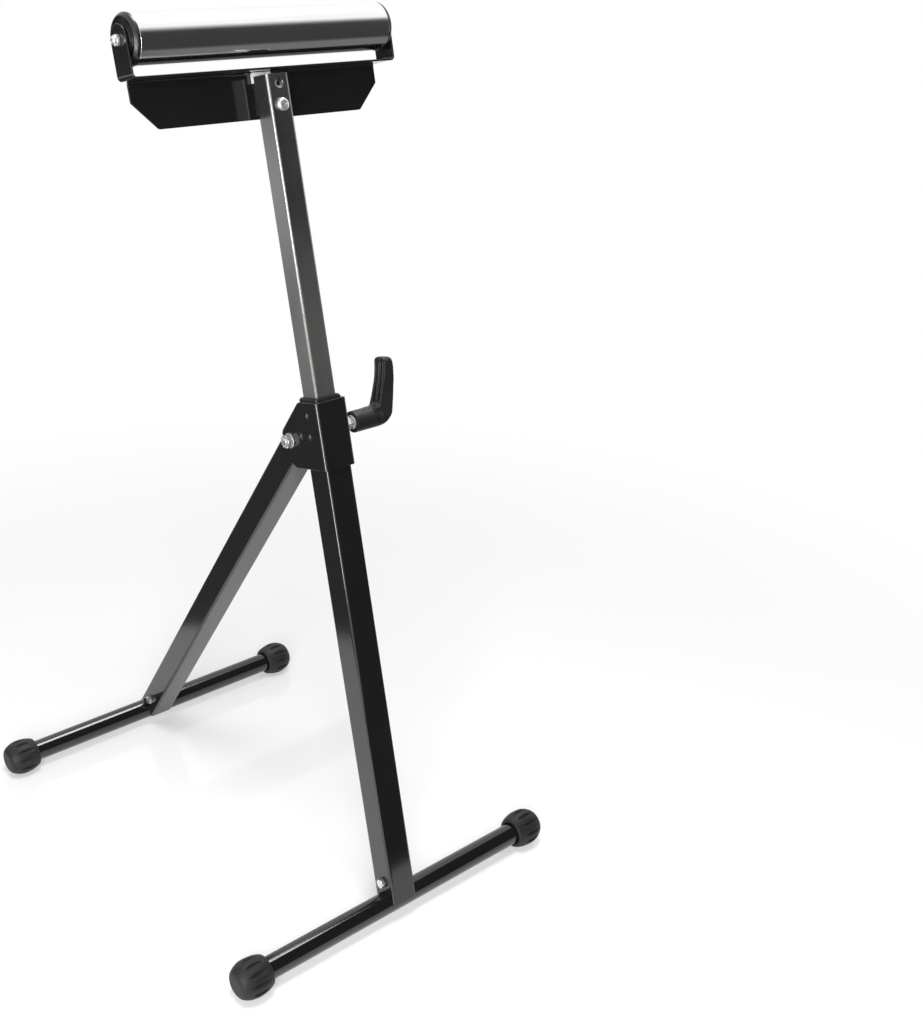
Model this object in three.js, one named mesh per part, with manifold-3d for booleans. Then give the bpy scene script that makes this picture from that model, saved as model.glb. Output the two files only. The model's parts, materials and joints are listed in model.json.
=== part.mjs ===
// A folding roller stand: a leaning post with a sliding roller head, a hinged rear leg and two foot bars.
// Millimetres. X runs along the roller, -Y is the front, +Z is up and the floor is z = 0.
import * as THREE from "three";
import { mergeVertices } from "three/addons/utils/BufferGeometryUtils.js";
import Module from "manifold-3d";

const wasm = await Module();
wasm.setup();

// Fits
const SEAT = 0.3; // gap between pieces that are welded, bolted or pushed together
const RUN = 0.3; // gap on each side of a piece that slides or turns
const HOLE_PLAY = 0.4; // radial play of a bolt in its hole
const THREAD = 0.3; // radial gap between a bolt and its nut

// Stance
const FOOT_SPREAD = 508; // between the axes of the two foot bars
const FOOT_LENGTH = 425.4; // over the rubber feet
const POST_LEAN = 13.7; // degrees that the post leans back from upright
const PIVOT_BACK = 37.2; // leg pivot behind the axis of the post
const PIVOT_UP = 521.5; // leg pivot above the front foot bar, along the post

// Tubes
const POST_W = 31.5;
const POST_WALL = 1.6;
const POST_CORNER = 3;
const POST_TOP = 561; // along the post, from the front foot bar
const MAST_W = 25;
const MAST_WALL = 1.5;
const MAST_CORNER = 2.5;
const MAST_TOP = 877.6;
const MAST_LENGTH = 560;
const LEG_W = 30;
const LEG_WALL = 1.6;
const LEG_CORNER = 3;
const BAR_R = 12.5;
const BAR_WALL = 1.5;
const FOOT_LAP = 1; // lower ends of the legs above the axis of their bar

// Rubber feet
const FOOT_R = 21.2;
const FOOT_DEPTH = 37.6;
const FOOT_END = 6.5; // thickness of the closed end
const BARREL_OUT = 0.64; // half axes of the barrel's two half ellipses, in lengths of the foot
const BARREL_IN = 0.83;
const BARREL_STEPS = 8; // even, so that one lies at the widest place
const FLUTES = 12;
const FLUTE_R = 4.5;
const FLUTE_SIDES = 8;
const FLUTE_DEPTH = 1.1;
const FLUTE_START = 3; // plain rim at the mouth

// Bolts of the feet
const FOOT_BOLT_R = 3;
const FOOT_BOLT_UP = 25; // above the axis of the bar, along the leg
const FOOT_BOLT_AF = 10; // across the flats of head and nut
const FOOT_BOLT_HEAD = 4.2;
const FOOT_BOLT_END = 2.5; // thread showing past the nut
const TAB_HALF = 12; // half length of the welded tab, along the bar
const TAB_DEPTH = 18;
const TAB_TOP = 33;

// Sliding guides
const BUSH_LIP = 5;
const BUSH_BRIM = 1.2; // upper part of the lip, stepped in
const BUSH_STEP = 0.8;
const BUSH_SLEEVE = 42;
const PLUG_SLEEVE = 16;
const PLUG_FOOT = 8;
const PLUG_HOLE_R = 5;
const PLUG_CORNER = 1.5;

// Gusset
const GUSSET_T = 2.8;
const GUSSET_LOW = 492.5;
const GUSSET_TOP = 562.5;
const GUSSET_REAR = 13; // plate behind the pivot axis
const GUSSET_MARGIN = 0.3; // slanted edge outside the rear face of the leg
const GUSSET_BEND = 3.4;
const GUSSET_HEEL = [[33, 0, 4], [41, 5, 6]]; // bottom corner: back, above the lower edge, radius
const GUSSET_REAR_UP = 23.5; // start of the rear edge above the lower edge
const GUSSET_REAR_CORNERS = [10, 9]; // radii at the two ends of the rear edge
const GUSSET_TOP_CORNER = 8;
const WELDS = [[0, 549], [0, 527.4], [15.6, 527.4]]; // spot welds on the side plates, back and up
const WELD_R = 3.2;
const WELD_DEPTH = 0.55;

// Pivot of the rear leg
const PIVOT_R = 4;
const PIVOT_AF = 13;
const PIVOT_HEAD = 5.3;
const PIVOT_NUT = 5.5;
const PIVOT_END = 1; // thread showing past the nut
const WASHER_R = 8;
const WASHER_T = 1.2;
const SLEEVE_WALL = 2;
const STOP_GAP = 0.4; // opened leg to the rear face of the post
const STOP_TOP = 24; // top of the leg above its pivot, along the post
const STOP_LOW = 2.5; // lower edge of the stop face above the pivot

// Clamp
const CLAMP_UP = 531;
const CLAMP_R = 4;
const CLAMP_NUT_R = 8.5;
const CLAMP_NUT_LENGTH = 10;
const CLAMP_PASS_R = 6;
const LEVER_IN = 34.5; // inner end of the hub from the middle of the post
const HUB_R = 11.4;
const HUB_LENGTH = 33;
const HUB_EDGES = [1, 2.5]; // rounded edges at the inner and outer end
const INSERT_R = 7.4;
const INSERT_DEPTH = 11;
const INSERT_PROUD = 0.6;
const STUD_OUT = 59;
const ARM_W = 22;
const ARM_EDGE = 1.6;
const ARM_TIP = 59.2; // rounded tip above the hub axis
const ARM_TIP_CORNER = 6;
const ARM = [ // side view of the arm: out from the post, up from the hub axis, corner radius
  [58, -10.6], [69, -10.6, 9], [79, 0.5, 12], [85.2, 18, 30], [89, 36, 40], [90, 50, 30], [88.5, 58, 4],
  [79.5, ARM_TIP, 3.5], [80.6, 51, 14], [77.4, 38, 40], [70.4, 20, 30], [66.5, 10.2, 3], [58, 10.2],
];
const GROOVE = [
  [60, 14], [73.4, 16.5], [80.6, 37.2], [83.6, 50.5], [82.8, 55.5], [72, 55.5], [72, 40], [62, 20],
];
const GROOVE_W = 4.4;
const GROOVE_AT = 3.7;

// Roller head
const SHEET = 2;
const EAR_OUT = 150; // outer faces of the ears from the middle
const EAR_W = 28;
const EAR_BACK = 7; // middle of the ears behind the axis of the post
const FLANGE_UP = 882.2; // underside of the flange
const AXLE_UP = 917;
const BEND_OUT = 4.5;
const PLATE_HALF = 142;
const PLATE_LOW = 838.6;
const PLATE_CHAMFER = [24.6, 25];
const PLATE_CORNER = 4;
const RELIEF = 3.6; // width of the corner reliefs between ears and plate
const RELIEF_DEPTH = 6;
const SCREW_UP = 849;
const SCREW_R = 3;
const SCREW_HEAD_R = 6.4;
const SCREW_HEAD = 4.8;
const SCREW_DOME = 3.6;
const SCREW_END = 2; // thread showing past the nut
const SLOT_W = 1.7; // cross recess
const SLOT_HALF = 3.5;
const SLOT_DEPTH = 2.4;
const SPARE_HOLE_UP = 868.6;
const SPARE_HOLE_R = 3;
const SPACER_HALF = 10;
const SPACER_LOW = 842;

// Roller
const ROLLER_R = 23.7;
const ROLLER_WALL = 1.6;
const ROLLER_EDGE = 0.7;
const ROLLER_HALF = 140.5;
const END_OUT = 146; // outer faces of the roller's end pieces
const END_PLUG = 19; // depth in the tube
const END_PLUG_WALL = 3;
const END_STEP = 0.1; // rim below the surface of the tube
const END_EDGE = 0.9;
const END_WEB = 3;
const END_RECESS = 2.4; // ring-shaped recess in the outer face
const RECESS_IN = 14;
const RECESS_OUT = 20;
const RECESS_DRAFT = 0.8;
const END_HOLES = 6;
const END_HOLE_R = 2;
const END_HOLE_PITCH = 17;
const END_HOLE_DEPTH = 5;
const BEARING_R = 9.5;
const BEARING_W = 6;
const BEARING_SUNK = 1;
const AXLE_R = 3.2;
const AXLE_CLEAR = 2.5;
const AXLE_HALF = 154.6;
const AXLE_NUT_R = 5.7;
const AXLE_NUT_LENGTH = 6.6;
const AXLE_NUT_DOME = 3.8;
const AXLE_WASHER_R = 7.5;

// Finishes
const BLACK_PAINT = { color: 0x17181a, roughness: 0.25, metalness: 0.1 };
const ZINC = { color: 0xb9bcc0, roughness: 0.32, metalness: 0.9 };
const BRIGHT_STEEL = { color: 0xd6d8da, roughness: 0.16, metalness: 1 };
const BLACK_PLASTIC = { color: 0x1d1e20, roughness: 0.5, metalness: 0 };
const WHITE_PLASTIC = { color: 0xeeeeea, roughness: 0.45, metalness: 0 };
const RUBBER = { color: 0x2a2b2c, roughness: 0.75, metalness: 0 };

const ARC_STEP = Math.PI / 8;
const SIDES = 16; // of bolts and holes
const TUBE_SIDES = 32;
const ROLLER_SIDES = 48;
const WELD_VERTICES = 1e-4;
const OVERLAP = 0.2; // shapes joined into one piece run into each other
const INSIDE_CORNER = 0.8; // smallest inside corner of a square tube
const FAR = 400; // longer than any piece that it cuts
const AXIS_X = new THREE.Vector3(1, 0, 0);
const AXIS_Y = new THREE.Vector3(0, 1, 0);
const AXIS_Z = new THREE.Vector3(0, 0, 1);
const DRAWN_IN_YZ = new THREE.Matrix4().makeBasis(AXIS_Y, AXIS_Z, AXIS_X);
const DRAWN_IN_XZ = new THREE.Matrix4().makeBasis(AXIS_X, AXIS_Z, AXIS_Y.clone().negate());
const SPIN_ON_X = new THREE.Matrix4().makeBasis(AXIS_Y.clone().negate(), AXIS_X, AXIS_Z);
const SPIN_ON_Z = new THREE.Matrix4().makeRotationX(Math.PI / 2);
const TURN_ROUND = new THREE.Matrix4().makeRotationZ(Math.PI);

// A closed outline; a corner given as [x, y, radius] becomes an arc.
function outline(corners) {
  const points = [];
  const add = (x, y) => {
    const last = points[points.length - 1];
    if (!last || Math.hypot(last.x - x, last.y - y) > WELD_VERTICES) points.push(new THREE.Vector2(x, y));
  };
  corners.forEach(([x, y, radius = 0], i) => {
    if (radius === 0) {
      add(x, y);
      return;
    }
    const before = corners[(i + corners.length - 1) % corners.length];
    const after = corners[(i + 1) % corners.length];
    const corner = new THREE.Vector2(x, y);
    const back = new THREE.Vector2(before[0], before[1]).sub(corner).normalize();
    const on = new THREE.Vector2(after[0], after[1]).sub(corner).normalize();
    const half = Math.acos(THREE.MathUtils.clamp(back.dot(on), -1, 1)) / 2;
    const centre = back.clone().add(on).setLength(radius / Math.sin(half)).add(corner);
    const reach = radius / Math.tan(half);
    const start = back.multiplyScalar(reach).add(corner).sub(centre).angle();
    const end = on.multiplyScalar(reach).add(corner).sub(centre).angle();
    const sweep = Math.atan2(Math.sin(end - start), Math.cos(end - start));
    const steps = Math.max(2, Math.ceil(Math.abs(sweep) / ARC_STEP));
    for (let k = 0; k <= steps; k += 1) {
      const angle = start + (sweep * k) / steps;
      add(centre.x + radius * Math.cos(angle), centre.y + radius * Math.sin(angle));
    }
  });
  return points;
}

// A closed solid from a geometry, ready for cutting and joining.
function solid(geometry, matrix = new THREE.Matrix4()) {
  const bare = geometry.clone();
  bare.deleteAttribute("normal");
  bare.deleteAttribute("uv");
  bare.applyMatrix4(matrix);
  const welded = mergeVertices(bare, WELD_VERTICES);
  const corners = welded.index.array;
  const faces = [];
  for (let i = 0; i < corners.length; i += 3) {
    const [a, b, c] = [corners[i], corners[i + 1], corners[i + 2]];
    if (a !== b && b !== c && c !== a) faces.push(a, b, c);
  }
  const vertProperties = Float32Array.from(welded.attributes.position.array);
  const make = (order) => {
    const triVerts = Uint32Array.from(order);
    return new wasm.Manifold(new wasm.Mesh({ numProp: 3, vertProperties, triVerts }));
  };
  const made = make(faces);
  return made.volume() > 0 ? made : make(faces.reverse());
}

function extruded(points, holes, length, edge = 0) {
  const shape = new THREE.Shape(points);
  shape.holes = holes.map((hole) => new THREE.Path(hole));
  const bevel = { bevelEnabled: edge > 0, bevelThickness: edge, bevelSize: edge, bevelOffset: -edge };
  return new THREE.ExtrudeGeometry(shape, { depth: length - 2 * edge, bevelSegments: 2, ...bevel });
}

// Prisms drawn in one plane and run along the third axis.
function prismX(points, from, to) {
  const move = new THREE.Matrix4().makeTranslation(from, 0, 0);
  return solid(extruded(points, [], to - from), move.multiply(DRAWN_IN_YZ));
}

function prismY(points, from, to, edge = 0) {
  const move = new THREE.Matrix4().makeTranslation(0, to - edge, 0);
  return solid(extruded(points, [], to - from, edge), move.multiply(DRAWN_IN_XZ));
}

function prismZ(points, holes, from, to) {
  return solid(extruded(points, holes, to - from), new THREE.Matrix4().makeTranslation(0, 0, from));
}

function block(x0, x1, y0, y1, z0, z1) {
  const box = new THREE.BoxGeometry(x1 - x0, y1 - y0, z1 - z0);
  return solid(box, new THREE.Matrix4().makeTranslation((x0 + x1) / 2, (y0 + y1) / 2, (z0 + z1) / 2));
}

// Round or six-sided rods along the three axes.
function rodX(radius, from, to, y = 0, z = 0, sides = SIDES) {
  const move = new THREE.Matrix4().makeTranslation((from + to) / 2, y, z);
  return solid(new THREE.CylinderGeometry(radius, radius, to - from, sides), move.multiply(SPIN_ON_X));
}

function rodY(radius, from, to, z, sides = SIDES) {
  const move = new THREE.Matrix4().makeTranslation(0, (from + to) / 2, z);
  return solid(new THREE.CylinderGeometry(radius, radius, to - from, sides), move);
}

function rodZ(radius, from, to) {
  const move = new THREE.Matrix4().makeTranslation(0, 0, (from + to) / 2);
  return solid(new THREE.CylinderGeometry(radius, radius, to - from, SIDES), move.multiply(SPIN_ON_Z));
}

function hexRadius(flats) {
  return flats / Math.sqrt(3);
}

// A turned piece on X from [x, radius] corners: either a ring, or a profile from axis to axis.
function turnedX(corners, y = 0, z = 0, sides = TUBE_SIDES) {
  const profile = outline(corners).map((point) => new THREE.Vector2(point.y, point.x));
  const ring = corners[0][1] > 0;
  if (ring) profile.push(profile[0].clone());
  const move = new THREE.Matrix4().makeTranslation(0, y, z);
  return solid(new THREE.LatheGeometry(profile, sides), move.multiply(SPIN_ON_X));
}

function square(width, corner) {
  const half = width / 2;
  const corners = [[-half, -half], [half, -half], [half, half], [-half, half]];
  return outline(corners.map(([x, y]) => [x, y, corner]));
}

function squareTube(width, wall, corner, from, to) {
  const inside = Math.max(corner - wall, INSIDE_CORNER);
  return prismZ(square(width, corner), [square(width - 2 * wall, inside)], from, to);
}

function add(parent, name, shape, finish) {
  const { vertProperties, triVerts } = shape.getMesh();
  const geometry = new THREE.BufferGeometry();
  geometry.setAttribute("position", new THREE.BufferAttribute(Float32Array.from(vertProperties), 3));
  geometry.setIndex(new THREE.BufferAttribute(Uint32Array.from(triVerts), 1));
  geometry.computeVertexNormals();
  const mesh = new THREE.Mesh(geometry, new THREE.MeshStandardMaterial(finish));
  mesh.name = name;
  parent.add(mesh);
}

// A hexagon bolt on X with its head at the -X side, and its nut at the other side.
function boltX(radius, flats, head, seat, tail, y, z) {
  const shank = rodX(radius, -seat - head / 2, tail, y, z);
  return shank.add(rodX(hexRadius(flats), -seat - head, -seat, y, z, 6));
}

function nutX(radius, flats, from, to, y, z) {
  return rodX(hexRadius(flats), from, to, y, z, 6).subtract(rodX(radius + THREAD, -FAR, FAR, y, z));
}

function ringX(outer, inner, from, to, y, z) {
  return rodX(outer, from, to, y, z).subtract(rodX(inner, -FAR, FAR, y, z));
}

// The foot of a leg: walls lapped over the bar, a saddle for the bar and a cross hole for the bolt.
function footCuts(leg) {
  const saddle = rodX(BAR_R + SEAT, -FAR, FAR, 0, 0, TUBE_SIDES);
  const hole = rodX(FOOT_BOLT_R + HOLE_PLAY, -FAR, FAR, 0, FOOT_BOLT_UP);
  return leg.subtract(saddle).subtract(hole);
}

function footTab() {
  const tab = block(-TAB_HALF, TAB_HALF, -TAB_DEPTH / 2, TAB_DEPTH / 2, 0, TAB_TOP);
  return footCuts(tab);
}

function footBolt(parent, name, width) {
  const seat = width / 2 + SEAT;
  const nutEnd = seat + FOOT_BOLT_HEAD;
  const tail = nutEnd + FOOT_BOLT_END;
  const bolt = boltX(FOOT_BOLT_R, FOOT_BOLT_AF, FOOT_BOLT_HEAD, seat, tail, 0, FOOT_BOLT_UP);
  add(parent, `${name}_foot_bolt`, bolt, ZINC);
  add(parent, `${name}_foot_nut`, nutX(FOOT_BOLT_R, FOOT_BOLT_AF, seat, nutEnd, 0, FOOT_BOLT_UP), ZINC);
}

// A barrel-shaped rubber foot at the +X end, with shallow flutes along it and one rib on the floor.
function rubberFoot() {
  const end = FOOT_LENGTH / 2;
  const mouth = end - FOOT_DEPTH;
  const bore = BAR_R + SEAT;
  const barrel = [];
  for (let k = 0; k <= BARREL_STEPS; k += 1) {
    const along = k / BARREL_STEPS;
    const halfAxis = along < 0.5 ? BARREL_IN : BARREL_OUT;
    const radius = FOOT_R * Math.sqrt(1 - ((along - 0.5) / halfAxis) ** 2);
    barrel.push([mouth + FOOT_DEPTH * along, radius]);
  }
  const bottom = end - FOOT_END;
  let foot = turnedX([[bottom, 0], [bottom, bore], [mouth, bore], ...barrel, [end, 0]], 0, 0, 2 * FLUTES);
  const fluteAxis = FOOT_R - FLUTE_DEPTH + FLUTE_R;
  for (let k = 0; k < FLUTES; k += 1) {
    const angle = ((k + 0.5) * 2 * Math.PI) / FLUTES;
    const [y, z] = [fluteAxis * Math.sin(angle), fluteAxis * Math.cos(angle)];
    foot = foot.subtract(rodX(FLUTE_R, mouth + FLUTE_START, end, y, z, FLUTE_SIDES));
  }
  return foot;
}

function turned(shape) {
  return shape.transform(TURN_ROUND.elements);
}

const stand = new THREE.Group();
stand.name = "roller_stand";

// The post's own frame: z along the post from the front foot bar, y backwards.
const lean = THREE.MathUtils.degToRad(POST_LEAN);
const post = new THREE.Group();
post.position.set(0, -FOOT_SPREAD / 2, FOOT_R);
post.rotation.x = -lean;
stand.add(post);

// The leg's own frame: z along the leg from the rear foot bar to the pivot, y towards its upper face.
const pivotY = -FOOT_SPREAD / 2 + PIVOT_UP * Math.sin(lean) + PIVOT_BACK * Math.cos(lean);
const pivotZ = FOOT_R + PIVOT_UP * Math.cos(lean) - PIVOT_BACK * Math.sin(lean);
const legReach = FOOT_SPREAD / 2 - pivotY;
const legRise = pivotZ - FOOT_R;
const legLength = Math.hypot(legReach, legRise);
const legAngle = Math.atan2(legReach, legRise);
const leg = new THREE.Group();
leg.position.set(0, FOOT_SPREAD / 2, FOOT_R);
leg.rotation.x = legAngle;
stand.add(leg);
const fold = lean + legAngle; // angle between the opened leg and the post

// Post
const postTube = footCuts(squareTube(POST_W, POST_WALL, POST_CORNER, FOOT_LAP, POST_TOP));
add(post, "post_tube", postTube.subtract(rodX(CLAMP_PASS_R, 0, FAR, 0, CLAMP_UP)), BLACK_PAINT);
add(post, "front_foot_tab", footTab(), BLACK_PAINT);
footBolt(post, "front", POST_W);

// Guide bush in the mouth of the post
const mastHole = MAST_W + 2 * RUN;
const postInside = POST_W - 2 * POST_WALL;
const lipLow = POST_TOP + SEAT;
const lipTop = lipLow + BUSH_LIP;
const bushBore = [square(mastHole, MAST_CORNER)];
const lip = prismZ(square(POST_W, POST_CORNER), bushBore, lipLow, lipTop - BUSH_BRIM);
const brimOut = square(POST_W - 2 * BUSH_STEP, MAST_CORNER);
const brim = prismZ(brimOut, bushBore, lipTop - BUSH_BRIM - OVERLAP, lipTop);
const sleeveOut = square(postInside - 2 * SEAT, MAST_CORNER);
const sleeve = prismZ(sleeveOut, bushBore, POST_TOP - BUSH_SLEEVE, lipLow + OVERLAP);
const clampPass = rodX(CLAMP_PASS_R, 0, FAR, 0, CLAMP_UP);
add(post, "guide_bush", lip.add(brim).add(sleeve).subtract(clampPass), BLACK_PLASTIC);

// Mast
const mastLow = MAST_TOP - MAST_LENGTH;
const screwHole = rodY(SCREW_R + HOLE_PLAY, -FAR, FAR, SCREW_UP);
const spareHole = rodY(SPARE_HOLE_R, -FAR, 0, SPARE_HOLE_UP);
const mast = squareTube(MAST_W, MAST_WALL, MAST_CORNER, mastLow, MAST_TOP);
add(post, "mast_tube", mast.subtract(screwHole).subtract(spareHole), ZINC);
const plugTop = mastLow - SEAT;
const plugFoot = prismZ(square(postInside - 2 * RUN, PLUG_CORNER), [], plugTop - PLUG_FOOT, plugTop);
const plugOut = square(MAST_W - 2 * MAST_WALL - 2 * SEAT, PLUG_CORNER);
const plug = plugFoot.add(prismZ(plugOut, [], plugTop - OVERLAP, mastLow + PLUG_SLEEVE));
add(post, "mast_plug", plug.subtract(rodZ(PLUG_HOLE_R, 0, MAST_TOP)), BLACK_PLASTIC);

// Head bracket: flange and ears bent from one strip, and the plate bent down at the rear edge
const earFront = EAR_BACK - EAR_W / 2;
const earRear = EAR_BACK + EAR_W / 2;
const earTop = AXLE_UP + EAR_W / 2;
const earIn = EAR_OUT - SHEET;
const flangeTop = FLANGE_UP + SHEET;
const bendIn = BEND_OUT - SHEET;
const strip = prismY(outline([
  [-EAR_OUT, earTop], [-EAR_OUT, FLANGE_UP, BEND_OUT], [EAR_OUT, FLANGE_UP, BEND_OUT], [EAR_OUT, earTop],
  [earIn, earTop], [earIn, flangeTop, bendIn], [-earIn, flangeTop, bendIn], [-earIn, earTop],
]), earFront, earRear);
const earOutline = prismX(outline([
  [earFront, FLANGE_UP - SHEET], [earRear, FLANGE_UP - SHEET],
  [earRear, earTop, EAR_W / 2], [earFront, earTop, EAR_W / 2],
]), -FAR, FAR);
const reliefHalf = PLATE_HALF + RELIEF;
const reliefFront = earRear - RELIEF_DEPTH;
const relief = block(-reliefHalf, reliefHalf, reliefFront, FAR, FLANGE_UP - SHEET, flangeTop + SHEET);
const plateBend = prismX(outline([
  [earRear - 2 * RELIEF_DEPTH, FLANGE_UP], [earRear - SHEET, FLANGE_UP, bendIn],
  [earRear - SHEET, PLATE_LOW], [earRear, PLATE_LOW], [earRear, flangeTop, BEND_OUT],
  [earRear - 2 * RELIEF_DEPTH, flangeTop],
]), -PLATE_HALF, PLATE_HALF);
const lowHalf = PLATE_HALF - PLATE_CHAMFER[0];
const chamferUp = PLATE_LOW + PLATE_CHAMFER[1];
const plateOutline = prismY(outline([
  [-PLATE_HALF, flangeTop], [-PLATE_HALF, chamferUp, PLATE_CORNER], [-lowHalf, PLATE_LOW, PLATE_CORNER],
  [lowHalf, PLATE_LOW, PLATE_CORNER], [PLATE_HALF, chamferUp, PLATE_CORNER], [PLATE_HALF, flangeTop],
]), -FAR, FAR);
const axleHole = rodX(AXLE_R + HOLE_PLAY, -FAR, FAR, EAR_BACK, AXLE_UP);
const ears = strip.intersect(earOutline).subtract(relief);
const bracket = ears.add(plateBend.intersect(plateOutline)).subtract(axleHole).subtract(screwHole);
add(post, "head_bracket", bracket, BLACK_PAINT);

// Spacer, screw and nut that hold the bracket on the mast
const plateFront = earRear - SHEET;
const spacerFront = MAST_W / 2 + SEAT;
const spacerTop = FLANGE_UP - SEAT;
const spacer = prismX(outline([
  [spacerFront, SPACER_LOW], [plateFront - SEAT, SPACER_LOW],
  [plateFront - SEAT, spacerTop, bendIn + SEAT], [spacerFront, spacerTop],
]), -SPACER_HALF, SPACER_HALF);
add(post, "head_spacer", spacer.subtract(screwHole), WHITE_PLASTIC);
const headSeat = -MAST_W / 2 - SEAT;
const headTop = headSeat - SCREW_HEAD;
const nutSeat = earRear + SEAT;
const nutEnd = nutSeat + SCREW_HEAD;
const screwProfile = outline([
  [0, headTop], [SCREW_HEAD_R, headTop, SCREW_DOME], [SCREW_HEAD_R, headSeat],
  [SCREW_R, headSeat], [SCREW_R, nutEnd + SCREW_END], [0, nutEnd + SCREW_END],
]);
const screwMove = new THREE.Matrix4().makeTranslation(0, 0, SCREW_UP);
const screw = solid(new THREE.LatheGeometry(screwProfile, SIDES), screwMove);
const slotFloor = headTop + SLOT_DEPTH;
const slotEdge = SLOT_W / 2;
const acrossSlot = block(-SLOT_HALF, SLOT_HALF, -FAR, slotFloor, SCREW_UP - slotEdge, SCREW_UP + slotEdge);
const uprightSlot = block(-slotEdge, slotEdge, -FAR, slotFloor, SCREW_UP - SLOT_HALF, SCREW_UP + SLOT_HALF);
add(post, "head_screw", screw.subtract(acrossSlot).subtract(uprightSlot), ZINC);
const headNut = rodY(hexRadius(FOOT_BOLT_AF), nutSeat, nutEnd, SCREW_UP, 6);
add(post, "head_nut", headNut.subtract(rodY(SCREW_R + THREAD, -FAR, FAR, SCREW_UP)), ZINC);

// Roller with its end pieces and bearings on a fixed axle
const rollerInside = ROLLER_R - ROLLER_WALL;
const edgeR = ROLLER_R - ROLLER_EDGE;
const rollerTube = turnedX([
  [-ROLLER_HALF, rollerInside], [-ROLLER_HALF, edgeR], [-ROLLER_HALF + ROLLER_EDGE, ROLLER_R],
  [ROLLER_HALF - ROLLER_EDGE, ROLLER_R], [ROLLER_HALF, edgeR], [ROLLER_HALF, rollerInside],
], EAR_BACK, AXLE_UP, ROLLER_SIDES);
add(post, "roller_tube", rollerTube, BRIGHT_STEEL);
const bearingOut = END_OUT - BEARING_SUNK;
const bearingIn = bearingOut - BEARING_W;
const pocket = BEARING_R + SEAT;
const pocketFloor = bearingIn - SEAT;
const webIn = pocketFloor - END_WEB;
const webBore = AXLE_R + AXLE_CLEAR;
const recessFloor = END_OUT - END_RECESS;
const rimIn = ROLLER_HALF + SEAT;
const rimR = ROLLER_R - END_STEP;
const plugEnd = ROLLER_HALF - END_PLUG;
const plugR = rollerInside - SEAT;
let rollerEnd = turnedX([
  [webIn, webBore], [pocketFloor, webBore], [pocketFloor, pocket], [END_OUT, pocket],
  [END_OUT, RECESS_IN - RECESS_DRAFT], [recessFloor, RECESS_IN], [recessFloor, RECESS_OUT],
  [END_OUT, RECESS_OUT + RECESS_DRAFT], [END_OUT, rimR - END_EDGE], [END_OUT - END_EDGE, rimR], [rimIn, rimR],
  [rimIn, plugR], [plugEnd, plugR], [plugEnd, plugR - END_PLUG_WALL], [webIn, plugR - END_PLUG_WALL],
]);
for (let k = 0; k < END_HOLES; k += 1) {
  const angle = ((k + 0.5) * 2 * Math.PI) / END_HOLES;
  const [y, z] = [END_HOLE_PITCH * Math.sin(angle), END_HOLE_PITCH * Math.cos(angle)];
  rollerEnd = rollerEnd.subtract(rodX(END_HOLE_R, recessFloor - END_HOLE_DEPTH, FAR, y, z, SIDES / 2));
}
const bearing = ringX(BEARING_R, AXLE_R + RUN, bearingIn, bearingOut, 0, 0);
const axleWasher = ringX(AXLE_WASHER_R, AXLE_R + THREAD, END_OUT + SEAT, earIn - SEAT, 0, 0);
const axleNutIn = EAR_OUT + SEAT;
const axleNutOut = axleNutIn + AXLE_NUT_LENGTH;
const axleEnd = AXLE_HALF + SEAT;
const axleNut = turnedX([
  [axleEnd, 0], [axleEnd, AXLE_R + THREAD], [axleNutIn, AXLE_R + THREAD], [axleNutIn, AXLE_NUT_R],
  [axleNutOut, AXLE_NUT_R, AXLE_NUT_DOME], [axleNutOut, 0],
], 0, 0, SIDES);
const onAxle = [0, EAR_BACK, AXLE_UP];
for (const [side, facing] of [["left", turned], ["right", (shape) => shape]]) {
  add(post, `roller_end_${side}`, facing(rollerEnd).translate(onAxle), BLACK_PLASTIC);
  add(post, `roller_bearing_${side}`, facing(bearing).translate(onAxle), BRIGHT_STEEL);
  add(post, `axle_washer_${side}`, facing(axleWasher).translate(onAxle), ZINC);
  add(post, `axle_nut_${side}`, facing(axleNut).translate(onAxle), ZINC);
}
add(post, "roller_axle", rodX(AXLE_R, -AXLE_HALF, AXLE_HALF, EAR_BACK, AXLE_UP), ZINC);

// Gusset: a U of sheet round the front of the post, its side plates carrying the leg
const gussetIn = POST_W / 2 + SEAT;
const gussetOut = gussetIn + GUSSET_T;
const plateRear = PIVOT_BACK + GUSSET_REAR;
const wrap = prismZ(outline([
  [-gussetOut, plateRear], [-gussetOut, -gussetOut, GUSSET_BEND], [gussetOut, -gussetOut, GUSSET_BEND],
  [gussetOut, plateRear], [gussetIn, plateRear], [gussetIn, -gussetIn, GUSSET_BEND - GUSSET_T],
  [-gussetIn, -gussetIn, GUSSET_BEND - GUSSET_T], [-gussetIn, plateRear],
]), [], GUSSET_LOW, GUSSET_TOP);
const slant = LEG_W / 2 + GUSSET_MARGIN;
const slantAt = (back) => PIVOT_UP + (slant - (back - PIVOT_BACK) * Math.cos(fold)) / Math.sin(fold);
const slantTop = PIVOT_BACK + (slant - (GUSSET_TOP - PIVOT_UP) * Math.sin(fold)) / Math.cos(fold);
const heel = GUSSET_HEEL.map(([back, up, radius]) => [back, GUSSET_LOW + up, radius]);
const plateShape = prismX(outline([
  [-FAR, GUSSET_LOW], ...heel, [plateRear, GUSSET_LOW + GUSSET_REAR_UP, GUSSET_REAR_CORNERS[0]],
  [plateRear, slantAt(plateRear), GUSSET_REAR_CORNERS[1]], [slantTop, GUSSET_TOP, GUSSET_TOP_CORNER],
  [-FAR, GUSSET_TOP],
]), -FAR, FAR);
let gusset = wrap.intersect(plateShape).subtract(rodX(PIVOT_R + HOLE_PLAY, -FAR, FAR, PIVOT_BACK, PIVOT_UP));
gusset = gusset.subtract(clampPass);
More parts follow.
